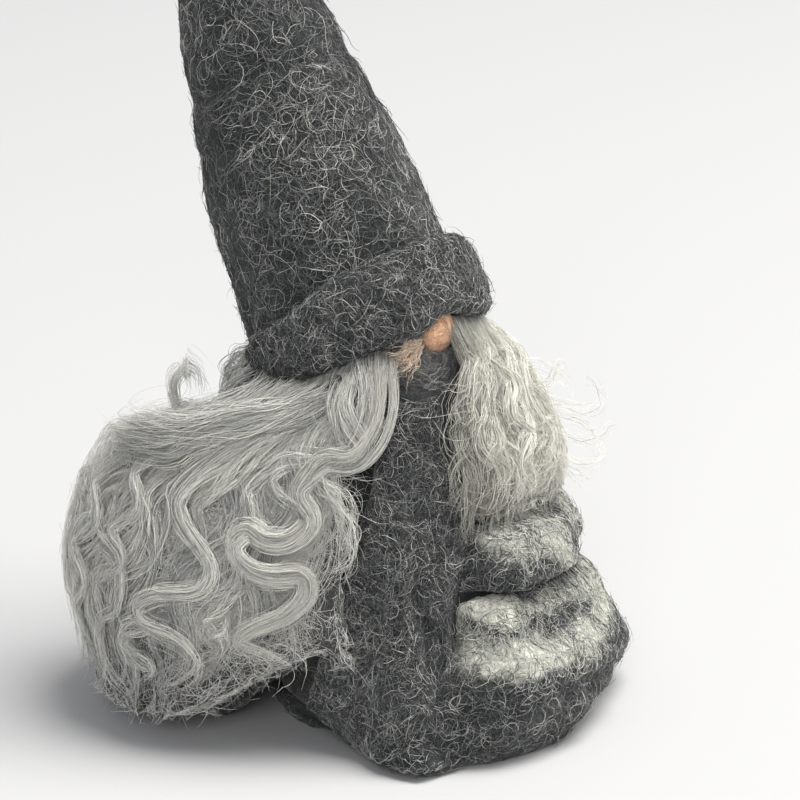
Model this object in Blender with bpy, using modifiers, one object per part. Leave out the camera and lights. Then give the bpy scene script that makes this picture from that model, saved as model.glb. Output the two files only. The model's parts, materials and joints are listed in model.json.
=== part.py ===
"""Tomte gnome figurine in wool felt, modelled in metres with +Z up.

The gnome stands on the origin and faces -Y, so its own left is +X. Its body leans back a little and
its tall hat leans back further. Angles round the body are in degrees: 0 is the front, and they grow
towards the gnome's left. Everything that lies on the robe (layers, folds, fleece, beard) is a draped
slab: it starts a small clearance off the felt below and has a thickness that a formula gives.
"""
import math

import bmesh
import bpy
from mathutils import Matrix, Vector

MM = 0.001
GAP = 0.3 * MM                      # clearance between two pieces that touch
LAYER_GAP = 0.8 * MM                # clearance between two felt layers that lie on each other

# Body
LEAN = 0.095                        # how far the body's centre line moves back for each unit of height
HEM_RADIUS = 55.5 * MM
ROBE_SLOPE = 0.282                  # how much radius the robe loses for each unit of height
ROBE_WALL = 4.5 * MM
NECK_HEIGHT = 97 * MM
PAD_RADIUS = 36 * MM
PAD_THICKNESS = 4 * MM
CORE_TOP = 80 * MM
PANEL_THICKNESS = 3 * MM

# Hat: its own axis starts in the middle of the brim's lower edge
BRIM_CENTRE = Vector((0, 10.5 * MM, 100 * MM))
HAT_TILT = math.radians(26.5)
HAT_RADIUS = 31.3 * MM
HAT_LENGTH = 150 * MM
HAT_FULLNESS = 2.5                  # higher keeps the cone wide for longer
HAT_WALL = 5 * MM
BRIM_RADIUS = 36 * MM
BRIM_HEIGHT = 25 * MM
BEND_HEIGHT = 92 * MM               # where the tip bends, along the hat's axis
TIP_CURL = math.radians(25)         # how much further back the end of the tip points

# Head and face
HEAD_RADIUS = 22 * MM
HEAD_HEIGHT = 104 * MM
NOSE_RADIUS = 6 * MM
NOSE_REACH = 24.5 * MM              # from the hat's axis
NOSE_RISE = 1.8 * MM                # above the brim's lower edge

# Fleece and beard
HAIR_CLEARANCE = 1.5 * MM           # below the brim
BRIM_REACH = 54 * MM                # the brim limits the fleece only this far out
SPLIT_ANGLE = -113                  # where the back fleece meets the right fleece

WOOL_CHARCOAL = (0.055, 0.057, 0.060)
WOOL_MELANGE = (0.085, 0.087, 0.088)
WOOL_CREAM_GREY = (0.34, 0.34, 0.29)
WOOL_SILVER = (0.52, 0.51, 0.49)
WOOL_BEIGE = (0.50, 0.47, 0.41)
WOOL_NATURAL = (0.62, 0.57, 0.47)
SKIN_PEACH = (0.68, 0.36, 0.22)
SKIN_PALE = (0.72, 0.52, 0.40)
STONE_GREY = (0.30, 0.29, 0.28)


# --- Scene and small helpers -----------------------------------------------------------------------

def clear_scene():
    for item in list(bpy.data.objects):
        bpy.data.objects.remove(item, do_unlink=True)


def new_collection(name):
    collection = bpy.data.collections.new(name)
    bpy.context.scene.collection.children.link(collection)
    return collection


def paint(piece, colour, roughness=0.95):
    material = bpy.data.materials.new(piece.name)
    material.use_nodes = True
    shader = material.node_tree.nodes["Principled BSDF"]
    shader.inputs["Base Color"].default_value = (*colour, 1)
    shader.inputs["Roughness"].default_value = roughness
    shader.inputs["Metallic"].default_value = 0
    piece.data.materials.append(material)


def finish_mesh(name, mesh, colour):
    """Turn a bmesh into a named, smooth-shaded piece of the figurine."""
    bmesh.ops.recalc_face_normals(mesh, faces=mesh.faces)
    data = bpy.data.meshes.new(name)
    mesh.to_mesh(data)
    mesh.free()
    data.shade_smooth()
    data.set_sharp_from_angle(angle=math.radians(50))
    piece = bpy.data.objects.new(name, data)
    figurine.objects.link(piece)
    paint(piece, colour)
    return piece


def mix(start, end, share):
    return start + (end - start) * share


def bump(value, centre, half_width):
    """A smooth hill that is 1 at the centre and 0 beyond the half width."""
    distance = abs(value - centre) / half_width
    return math.cos(distance * math.pi / 2) ** 2 if distance < 1 else 0.0


def around(angle, height, radius):
    """A point beside the leaning body: angle in degrees from the front, towards the gnome's left."""
    turn = math.radians(angle)
    return Vector((radius * math.sin(turn), LEAN * height - radius * math.cos(turn), height))


def turned(name, profile, steps, colour):
    """A piece turned about +Z from (radius, height) points that run down its outer side."""
    mesh = bmesh.new()
    points = [mesh.verts.new((radius, 0, height)) for radius, height in profile]
    for first, second in zip(points, points[1:]):
        mesh.edges.new((first, second))
    data = bpy.data.meshes.new(name)
    mesh.to_mesh(data)
    mesh.free()
    piece = bpy.data.objects.new(name, data)
    figurine.objects.link(piece)
    screw = piece.modifiers.new("Turn", "SCREW")
    screw.steps = steps
    screw.render_steps = steps
    screw.use_merge_vertices = True
    screw.merge_threshold = 0.00001
    screw.use_smooth_shade = True
    paint(piece, colour)
    return piece


def draped(name, colour, columns, rows, edges, top, bottom, inner, thickness, closed=False):
    """A slab that hangs on the body.

    edges(height) gives its first and last angle, top(angle, radius_at) and bottom(angle) its heights,
    inner(angle, height) the radius of its inner side, and thickness(angle, height) what it adds.
    """
    low = bottom(mix(*edges(NECK_HEIGHT), 0.5))
    half_way = (NECK_HEIGHT + low) / 2
    mesh = bmesh.new()

    def surface(radius):
        grid = []
        for column in range(columns if closed else columns + 1):
            share = column / columns
            middle = mix(*edges(half_way), share)
            highest = top(middle, lambda height: radius(middle, height))
            line = []
            for row in range(rows + 1):
                height = mix(highest, bottom(middle), row / rows)
                angle = mix(*edges(height), share)
                line.append(mesh.verts.new(around(angle, height, radius(angle, height))))
            grid.append(line)
        return grid

    inside = surface(inner)
    outside = surface(lambda angle, height: inner(angle, height) + thickness(angle, height))
    count = len(inside)
    spans = count if closed else count - 1
    for column in range(spans):
        following = (column + 1) % count
        for row in range(rows):
            for grid in (inside, outside):
                mesh.faces.new((grid[column][row], grid[following][row],
                                grid[following][row + 1], grid[column][row + 1]))
        for row in (0, rows):
            mesh.faces.new((inside[column][row], inside[following][row],
                            outside[following][row], outside[column][row]))
    if not closed:
        for column in (0, count - 1):
            for row in range(rows):
                mesh.faces.new((inside[column][row], inside[column][row + 1],
                                outside[column][row + 1], outside[column][row]))
    return finish_mesh(name, mesh, colour)


def tube(name, colour, points, radii):
    """A round, tapered wool lock along the points, with filled ends."""
    curve = bpy.data.curves.new(name, "CURVE")
    curve.dimensions = "3D"
    curve.bevel_depth = 1.0
    curve.bevel_resolution = 2
    curve.use_fill_caps = True
    spline = curve.splines.new("POLY")
    spline.points.add(len(points) - 1)
    for control, point, radius in zip(spline.points, points, radii):
        control.co = (*point, 1)
        control.radius = radius
    piece = bpy.data.objects.new(name, curve)
    figurine.objects.link(piece)
    paint(piece, colour)
    return piece


def smooth_path(points, count):
    """Evenly counted points on a Catmull-Rom curve through the given ones."""
    padded = [2 * points[0] - points[1], *points, 2 * points[-1] - points[-2]]
    path = []
    for index in range(count):
        place = index / (count - 1) * (len(points) - 1)
        span = min(int(place), len(points) - 2)
        t = place - span
        a, b, c, d = padded[span:span + 4]
        path.append(0.5 * ((2 * b) + (c - a) * t + (2 * a - 5 * b + 4 * c - d) * t ** 2
                           + (3 * b - a - 3 * c + d) * t ** 3))
    return path


# --- Shapes of the body, shared by all that lies on it ---------------------------------------------

def robe_radius(angle, height):
    """Outer radius of the robe. Its hem runs out to two soft corners and is drawn in between them."""
    angle = (angle + 180) % 360 - 180
    fade = max(0.0, 1 - height / (55 * MM)) ** 2
    corners = 8 * MM * bump(angle, -43, 21) + 10 * MM * bump(angle, 62, 34) - 14 * MM * bump(angle, -73, 26)
    return HEM_RADIUS - ROBE_SLOPE * height + fade * corners


def hem_height(angle):
    """The hem lies on the ground, and is lifted at the gnome's right side."""
    return 0.6 * MM + 22 * MM * bump(angle, -85, 38)


def brim_plane(angle, radius):
    """Height at which the brim's lower edge would pass over a point beside the body."""
    slope = math.tan(HAT_TILT)
    rise = slope * radius * math.cos(math.radians(angle))
    return (BRIM_CENTRE.z + slope * BRIM_CENTRE.y + rise) / (1 + slope * LEAN)


def under_brim(angle, radius_at):
    """Highest place for a slab's edge below the brim, whose own radius depends on the height."""
    height = NECK_HEIGHT
    for _ in range(8):
        height = brim_plane(angle, min(radius_at(height), BRIM_REACH)) - HAIR_CLEARANCE
    return height


def hat_radius(height):
    return HAT_RADIUS * (1 - (height / HAT_LENGTH) ** HAT_FULLNESS)


HAT_FRAME = Matrix.Translation(BRIM_CENTRE) @ Matrix.Rotation(-HAT_TILT, 4, "X")
NOSE_CENTRE = HAT_FRAME @ Vector((0, -NOSE_REACH, NOSE_RISE))


def fleece_thickness(angle, height):
    """The fleece is thickest behind the gnome's right shoulder, at half height."""
    level = 0.62 + 0.38 * bump(height, 52 * MM, 62 * MM)
    return 4 * MM + 40 * MM * bump(angle, -142, 78) * level


# --- Body ------------------------------------------------------------------------------------------

def base_pad():
    mesh = bmesh.new()
    bmesh.ops.create_cone(mesh, cap_ends=True, segments=48, radius1=PAD_RADIUS, radius2=PAD_RADIUS,
                          depth=PAD_THICKNESS, matrix=Matrix.Translation((0, 0, PAD_THICKNESS / 2)))
    finish_mesh("base_pad", mesh, WOOL_CHARCOAL)


def body_core():
    """Carded wool cone with a pocket underneath for the stone, leaning with the body."""
    foot = PAD_THICKNESS + GAP
    pocket_radius = 23 * MM
    pocket_top = 24 * MM
    foot_radius = 35 * MM
    neck_radius = 19 * MM
    profile = [(0, CORE_TOP), (neck_radius * 0.6, CORE_TOP - 1 * MM), (neck_radius, CORE_TOP - 5 * MM)]
    profile += [(foot_radius, foot + 3 * MM), (foot_radius - 2 * MM, foot)]
    profile += [(pocket_radius, foot), (pocket_radius, pocket_top - 5 * MM)]
    profile += [(pocket_radius * 0.7, pocket_top - 1 * MM), (0, pocket_top)]
    core = turned("body_core", profile, 32, WOOL_NATURAL)
    shear = Matrix.Identity(4)
    shear[1][2] = LEAN
    evaluated = core.evaluated_get(bpy.context.evaluated_depsgraph_get())
    data = bpy.data.meshes.new_from_object(evaluated)
    data.transform(shear)
    core.modifiers.clear()
    core.data = data


def ballast_stone():
    half_height = 8 * MM
    mesh = bmesh.new()
    size = Matrix.Diagonal((20 * MM, 17 * MM, half_height, 1))
    place = Matrix.Translation((0, 1.5 * MM, PAD_THICKNESS + GAP + half_height))
    bmesh.ops.create_uvsphere(mesh, u_segments=20, v_segments=12, radius=1, matrix=place @ size)
    finish_mesh("ballast_stone", mesh, STONE_GREY)


def robe_shell():
    draped("robe_shell", WOOL_CHARCOAL, 72, 8,
           edges=lambda height: (-180, 180),
           top=lambda angle, radius_at: min(NECK_HEIGHT, under_brim(angle, radius_at)),
           bottom=hem_height,
           inner=lambda angle, height: robe_radius(angle, height) - ROBE_WALL,
           thickness=lambda angle, height: ROBE_WALL, closed=True)


def panel_edges(height):
    """The front panel is narrow at the neck and wide at the hem, where it moves to the right side."""
    return -86 + 0.40 * height / MM, -38 + 0.25 * height / MM


def robe_front_panel():
    draped("robe_front_panel", WOOL_MELANGE, 12, 8,
           edges=panel_edges,
           top=lambda angle, radius_at: NECK_HEIGHT - 2 * MM,
           bottom=hem_height,
           inner=lambda angle, height: robe_radius(angle, height) + LAYER_GAP,
           thickness=lambda angle, height: PANEL_THICKNESS)


def side_fold(name, low, high, thickest, last_angle):
    """A thick fold of pale-blotched felt that wraps the gnome's left side, between two heights."""
    middle = (low + high) / 2

    def thickness(angle, height):
        first_angle = panel_edges(middle)[1]
        along = (angle - first_angle) / (last_angle - first_angle)
        ends = min(1.0, 6 * min(max(along, 0), max(1 - along, 0)) + 0.35)
        across = min(1.0, abs(height - middle) / (high - middle))
        return 2 * MM + (thickest - 2 * MM) * ends * (1 - across ** 4)

    draped(name, WOOL_CREAM_GREY, 28, 7,
           edges=lambda height: (panel_edges(height)[1] + 3, last_angle),
           top=lambda angle, radius_at: high,
           bottom=lambda angle: low,
           inner=lambda angle, height: robe_radius(angle, height) + LAYER_GAP,
           thickness=thickness)


# --- Head and face ---------------------------------------------------------------------------------

def cutting_ball(name, centre, radius):
    mesh = bmesh.new()
    bmesh.ops.create_uvsphere(mesh, u_segments=20, v_segments=12, radius=radius,
                              matrix=Matrix.Translation(centre))
    data = bpy.data.meshes.new(name)
    mesh.to_mesh(data)
    mesh.free()
    ball = bpy.data.objects.new(name, data)
    ball.hide_render = True
    ball.display_type = "WIRE"
    cutters.objects.link(ball)
    return ball


def head_ball():
    mesh = bmesh.new()
    centre = Vector((0, LEAN * HEAD_HEIGHT, HEAD_HEIGHT))
    bmesh.ops.create_uvsphere(mesh, u_segments=32, v_segments=18, radius=HEAD_RADIUS,
                              matrix=Matrix.Translation(centre))
    head = finish_mesh("head_ball", mesh, WOOL_NATURAL)
    socket = head.modifiers.new("Nose socket", "BOOLEAN")
    socket.operation = "DIFFERENCE"
    socket.object = cutting_ball("nose_socket", NOSE_CENTRE, NOSE_RADIUS + GAP)


def nose():
    mesh = bmesh.new()
    bmesh.ops.create_uvsphere(mesh, u_segments=20, v_segments=12, radius=NOSE_RADIUS,
                              matrix=Matrix.Translation(NOSE_CENTRE))
    finish_mesh("nose", mesh, SKIN_PEACH)


def face_patch():
    """Band of skin-coloured wool across the face, below the nose and mostly under the beard."""
    draped("face_patch", SKIN_PALE, 12, 3,
           edges=lambda height: (-42, 42),
           top=lambda angle, radius_at: 104.5 * MM,
           bottom=lambda angle: NECK_HEIGHT + 1 * MM,
           inner=lambda angle, height: HEAD_RADIUS + 1 * MM,
           thickness=lambda angle, height: 1.2 * MM)


# --- Fleece, beard and locks -----------------------------------------------------------------------

def over_panel(angle, height):
    """Inner side of what hangs over the front panel, a little looser towards its root."""
    return robe_radius(angle, height) + PANEL_THICKNESS + 2 * LAYER_GAP + 1 * MM * height / NECK_HEIGHT


def hair_back_fleece():
    draped("hair_back_fleece", WOOL_SILVER, 22, 8,
           edges=lambda height: (-216, SPLIT_ANGLE - 1),
           top=under_brim,
           bottom=lambda angle: 4 * MM,
           inner=over_panel,
           thickness=fleece_thickness)


def beard_right_fleece():
    draped("beard_right_fleece", WOOL_SILVER, 12, 8,
           edges=lambda height: (SPLIT_ANGLE + 1, -62),
           top=under_brim,
           bottom=lambda angle: 6 * MM + 22 * MM * bump(angle, -70, 45),
           inner=over_panel,
           thickness=fleece_thickness)


def beard_left_fleece():
    """The beard on the gnome's left: full at chin height, ending on top of the upper fold."""
    def thickness(angle, height):
        swell = 4 * MM + 10 * MM * bump(height, 78 * MM, 30 * MM)
        return 2 * MM + swell * (0.45 + 0.55 * bump(angle, 44, 62))

    draped("beard_left_fleece", WOOL_BEIGE, 16, 8,
           edges=lambda height: (6 - 0.6 * (105 - height / MM), 100),
           top=lambda angle, radius_at: min(105 * MM, under_brim(angle, radius_at)),
           bottom=lambda angle: 62.5 * MM,
           inner=over_panel,
           thickness=thickness)


def hair_left_fleece():
    """The fleece behind the gnome's left shoulder."""
    draped("hair_left_fleece", WOOL_BEIGE, 8, 8,
           edges=lambda height: (103, 141),
           top=under_brim,
           bottom=lambda angle: 62.5 * MM,
           inner=over_panel,
           thickness=lambda angle, height: 6 * MM + 9 * MM * bump(height, 72 * MM, 40 * MM))


def lock_on_fleece(name, waypoints, thick, thin, count):
    """A curled lock that lies on the right fleece or the panel; waypoints are (angle, height in mm)."""
    flat = smooth_path([Vector(point) for point in waypoints], count)
    points = []
    radii = []
    for index, (angle, height_mm) in enumerate(flat):
        share = index / (count - 1)
        radius = mix(thick, thin, share)
        height = height_mm * MM
        stand = over_panel(angle, height) + fleece_thickness(angle, height) + GAP + 1.35 * radius
        points.append(around(angle, height, stand))
        radii.append(radius)
    tube(name, WOOL_SILVER, points, radii)


def beard_right_lock():
    lock_on_fleece("beard_right_lock", [(-46, 104), (-49, 92), (-60, 82), (-74, 81), (-71, 69), (-88, 65),
                                        (-92, 58), (-77, 54), (-75, 46), (-88, 33), (-79, 28)],
                   thick=3.6 * MM, thin=1.6 * MM, count=46)


def beard_right_strand():
    lock_on_fleece("beard_right_strand", [(-50, 74), (-57, 64), (-66, 54), (-65, 46), (-60, 38)],
                   thick=2.2 * MM, thin=1.2 * MM, count=16)


def hair_upright_curl():
    """A short curl that stands up from the top of the back fleece."""
    centre = Vector((-40 * MM, 44 * MM, 92.6 * MM))
    count = 14
    points = []
    radii = []
    for index in range(count):
        turn = math.radians(-120 + index * 24)
        sideways = math.cos(turn) * Vector((-4 * MM, 2 * MM, 0))
        points.append(centre + sideways + Vector((0, 0, 4.5 * MM * math.sin(turn))))
        radii.append(mix(1.2 * MM, 0.7 * MM, index / (count - 1)))
    tube("hair_upright_curl", WOOL_SILVER, points, radii)


# --- Hat -------------------------------------------------------------------------------------------

def on_hat(piece):
    piece.matrix_world = HAT_FRAME


def hat_stuffing():
    """Wool plug that fills the cone between the head and the bend."""
    foot = 26.8 * MM
    top = 66 * MM
    heights = [mix(top - 6 * MM, foot + 2 * MM, index / 5) for index in range(6)]
    profile = [(0, top), (hat_radius(top) * 0.5, top - 1 * MM)]
    profile += [(hat_radius(height) - HAT_WALL - 2 * GAP, height) for height in heights]
    profile += [(hat_radius(foot) - HAT_WALL - 2 * MM, foot), (0, foot)]
    on_hat(turned("hat_stuffing", profile, 32, WOOL_NATURAL))


def hat_cone():
    """Felt cone, open below for the head, with a cup at its top that the tip rolls in."""
    foot = 9 * MM
    rim = BEND_HEIGHT - 3.7 * MM
    cup = hat_radius(BEND_HEIGHT) + GAP

    def inner_radius(height):
        below = BEND_HEIGHT - height
        ball = math.sqrt(cup ** 2 - below ** 2) if below < cup else 0
        return max(hat_radius(height) - HAT_WALL, ball)

    outer = [mix(rim, foot, index / 9) for index in range(10)]
    inner = [foot + (rim - foot) * share for share in (0, 0.25, 0.5, 0.75, 0.88, 0.92, 0.96, 1)]
    profile = [(hat_radius(height), height) for height in outer]
    profile += [(inner_radius(height), height) for height in inner]
    profile.append(profile[0])
    on_hat(turned("hat_cone", profile, 40, WOOL_CHARCOAL))


def hat_tip():
    """Stuffed upper end of the hat: a ball below the bend, and a cone above it that curls back."""
    ball = hat_radius(BEND_HEIGHT)
    sides = 32
    ball_rings = 8
    rings = []
    for index in range(1, ball_rings + 1):
        turn = index / ball_rings * math.pi / 2
        centre = Vector((0, 0, BEND_HEIGHT - ball * math.cos(turn)))
        rings.append((centre, 0.0, ball * math.sin(turn)))
    spine = Vector((0, 0, BEND_HEIGHT))
    steps = 12
    step = (HAT_LENGTH - BEND_HEIGHT) / steps
    for index in range(1, steps + 1):
        share = index / steps
        tilt = TIP_CURL * share
        spine = spine + step * Vector((0, math.sin(tilt), math.cos(tilt)))
        radius = hat_radius(BEND_HEIGHT + (HAT_LENGTH - BEND_HEIGHT) * min(share, 0.97))
        rings.append((spine, tilt, radius if index < steps else radius * 0.6))
    mesh = bmesh.new()
    loops = []
    for centre, tilt, radius in rings:
        loop = []
        for side in range(sides):
            turn = 2 * math.pi * side / sides
            across = Vector((0, math.cos(tilt), -math.sin(tilt)))
            offset = math.cos(turn) * Vector((1, 0, 0)) + math.sin(turn) * across
            loop.append(mesh.verts.new(centre + radius * offset))
        loops.append(loop)
    for below, above in zip(loops, loops[1:]):
        for side in range(sides):
            following = (side + 1) % sides
            mesh.faces.new((below[side], below[following], above[following], above[side]))
    bottom_pole = Vector((0, 0, BEND_HEIGHT - ball))
    end_pole = spine + 0.8 * MM * Vector((0, 1, 1))
    for loop, pole in ((loops[0], bottom_pole), (loops[-1], end_pole)):
        point = mesh.verts.new(pole)
        for side in range(sides):
            mesh.faces.new((loop[side], loop[(side + 1) % sides], point))
    on_hat(finish_mesh("hat_tip", mesh, WOOL_CHARCOAL))


def hat_brim():
    """Turned-up cuff round the cone: high and full at the front, low at the back."""
    columns = 44
    lip_radius = 31.2 * MM
    seat = hat_radius(9 * MM) + GAP
    mesh = bmesh.new()
    loops = []
    for column in range(columns):
        turn = 2 * math.pi * column / columns
        front = 0.5 + 0.5 * math.cos(turn)
        high = mix(11 * MM, BRIM_HEIGHT, front)
        full = BRIM_RADIUS + mix(-1 * MM, 1 * MM, front)
        section = [(seat, 8.6 * MM), (lip_radius, 0.3 * MM), (lip_radius + 1.6 * MM, 0)]
        section += [(full - 0.6 * MM, 2 * MM), (full, mix(4 * MM, 8 * MM, front))]
        section += [(full - 0.6 * MM, high - 4 * MM), (full - 2.6 * MM, high - 0.5 * MM)]
        section += [(seat + 0.6 * MM, high - 1.5 * MM), (seat, high - 3 * MM)]
        direction = Vector((math.sin(turn), -math.cos(turn), 0))
        loop = [radius * direction + Vector((0, 0, height)) for radius, height in section]
        loops.append([mesh.verts.new(point) for point in loop])
    for column, loop in enumerate(loops):
        following = loops[(column + 1) % columns]
        for index in range(len(loop)):
            after = (index + 1) % len(loop)
            mesh.faces.new((loop[index], following[index], following[after], loop[after]))
    on_hat(finish_mesh("hat_brim", mesh, WOOL_MELANGE))


# --- Build -----------------------------------------------------------------------------------------

clear_scene()
figurine = new_collection("tomte_gnome")
cutters = new_collection("cutters")

base_pad()
body_core()
ballast_stone()
robe_shell()
robe_front_panel()
side_fold("side_fold_upper", low=39 * MM, high=61 * MM, thickest=12 * MM, last_angle=118)
side_fold("side_fold_lower", low=8 * MM, high=37 * MM, thickest=11.5 * MM, last_angle=126)
head_ball()
nose()
face_patch()
hair_back_fleece()
beard_right_fleece()
beard_left_fleece()
hair_left_fleece()
beard_right_lock()
beard_right_strand()
hair_upright_curl()
hat_stuffing()
hat_cone()
hat_tip()
hat_brim()
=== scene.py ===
"""Looks of the felted tomte gnome: felt skins with loose fibres, and fleece built strand by strand.

Lengths are in metres. Places round the body are an angle in degrees (0 is the front, + is the gnome's
left) and a height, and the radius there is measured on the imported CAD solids, so that every skin,
fibre and lock lies where its CAD piece is.
"""

import json
import math

import bmesh
import bpy
import numpy as np
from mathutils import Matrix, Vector
from mathutils.bvhtree import BVHTree


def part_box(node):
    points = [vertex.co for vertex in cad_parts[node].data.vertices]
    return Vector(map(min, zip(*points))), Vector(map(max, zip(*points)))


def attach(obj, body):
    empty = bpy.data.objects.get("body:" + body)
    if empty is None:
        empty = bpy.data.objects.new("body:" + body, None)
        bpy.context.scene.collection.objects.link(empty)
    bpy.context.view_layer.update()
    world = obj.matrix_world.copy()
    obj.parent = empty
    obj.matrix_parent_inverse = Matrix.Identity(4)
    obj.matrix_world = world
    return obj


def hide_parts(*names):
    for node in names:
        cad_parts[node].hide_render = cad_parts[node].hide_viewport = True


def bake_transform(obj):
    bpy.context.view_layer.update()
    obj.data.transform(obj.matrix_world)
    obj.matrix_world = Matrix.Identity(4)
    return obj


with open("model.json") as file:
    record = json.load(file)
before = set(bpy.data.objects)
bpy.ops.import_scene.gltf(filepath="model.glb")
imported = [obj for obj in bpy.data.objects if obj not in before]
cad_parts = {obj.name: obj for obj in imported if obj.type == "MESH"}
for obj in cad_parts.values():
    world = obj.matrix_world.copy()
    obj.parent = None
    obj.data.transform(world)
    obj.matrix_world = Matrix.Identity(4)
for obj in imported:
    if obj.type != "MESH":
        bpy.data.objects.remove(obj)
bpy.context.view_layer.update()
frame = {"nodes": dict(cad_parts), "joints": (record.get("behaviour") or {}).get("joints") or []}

MM = 0.001
JOINTS = {joint["name"]: joint for joint in frame["joints"]}
BRIM = np.array(JOINTS["hat_turn"]["pos_m"])
HAT_AXIS = np.array(JOINTS["hat_turn"]["axis"])
BEND = np.array(JOINTS["hat_tip_bend"]["pos_m"])
LEAN = BRIM[1] / BRIM[2]            # how far the body's centre line moves back for each unit of height
MAX_TRIANGLES = 180000              # in one piece
UV_MAP = "OFBake"                   # u is the strand's tint, v runs from root to tip
FULLNESS = 1.0
LOCK_FULLNESS = 1.0   # and of the locks
TURN = 2 * math.pi
UPRIGHT = np.array((0, 0, 1.0))


# --- Numbers ---------------------------------------------------------------------------------------

def mix(start, end, share):
    return start + (end - start) * share


def smooth(low, high, value):
    """0 at low, 1 at high and an even S between; low may be the larger one."""
    share = np.clip((value - low) / (high - low), 0, 1)
    return share * share * (3 - 2 * share)


def unit(vectors):
    return vectors / np.maximum(np.linalg.norm(vectors, axis=-1, keepdims=True), 1e-12)


def lattice(corner, seed):
    """A repeatable random number for each whole-numbered corner of space."""
    x, y, z = corner[..., 0], corner[..., 1], corner[..., 2]
    mixed = (x * 374761393 + y * 668265263 + z * 2147483647 + seed * 1274126177) & 0xFFFFFFFF
    mixed = ((mixed ^ (mixed >> 13)) * 1103515245) & 0xFFFFFFFF
    return ((mixed ^ (mixed >> 16)) & 0xFFFF) / 32767.5 - 1


def noise(points, wavelength, seed):
    """Smooth noise from -1 to 1 through space."""
    scaled = np.asarray(points) / wavelength
    base = np.floor(scaled).astype(np.int64)
    part = scaled - base
    part = part * part * (3 - 2 * part)
    total = 0
    for dx in (0, 1):
        for dy in (0, 1):
            for dz in (0, 1):
                weight = (mix(1 - part[..., 0], part[..., 0], dx) * mix(1 - part[..., 1], part[..., 1], dy)
                          * mix(1 - part[..., 2], part[..., 2], dz))
                total = total + weight * lattice(base + np.array((dx, dy, dz)), seed)
    return total


def curve_through(points, count):
    """Evenly counted points on a Catmull-Rom curve through the given ones."""
    points = np.asarray(points, float)
    padded = np.vstack((2 * points[0] - points[1], points, 2 * points[-1] - points[-2]))
    place = np.linspace(0, len(points) - 1, count)
    span = np.minimum(place.astype(int), len(points) - 2)
    t = (place - span)[:, None]
    a, b, c, d = (padded[span + step] for step in range(4))
    square = 2 * a - 5 * b + 4 * c - d
    cube = 3 * b - a - 3 * c + d
    return 0.5 * (2 * b + (c - a) * t + square * t ** 2 + cube * t ** 3)


def rounded(path, rounds):
    """Takes the corners off a path; its ends stay where they are."""
    path = path.copy()
    for _ in range(rounds):
        path[1:-1] = 0.25 * path[:-2] + 0.5 * path[1:-1] + 0.25 * path[2:]
    return path


# --- Where things are round the body ---------------------------------------------------------------

def around(angle, height, radius):
    """The point at an angle and a radius from the body's leaning centre line."""
    turn = np.radians(angle)
    return np.stack((radius * np.sin(turn), LEAN * height - radius * np.cos(turn), height), axis=-1)


def outward(angle):
    turn = np.radians(angle)
    return np.stack((np.sin(turn), -np.cos(turn), np.zeros_like(turn)), axis=-1)


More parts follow.
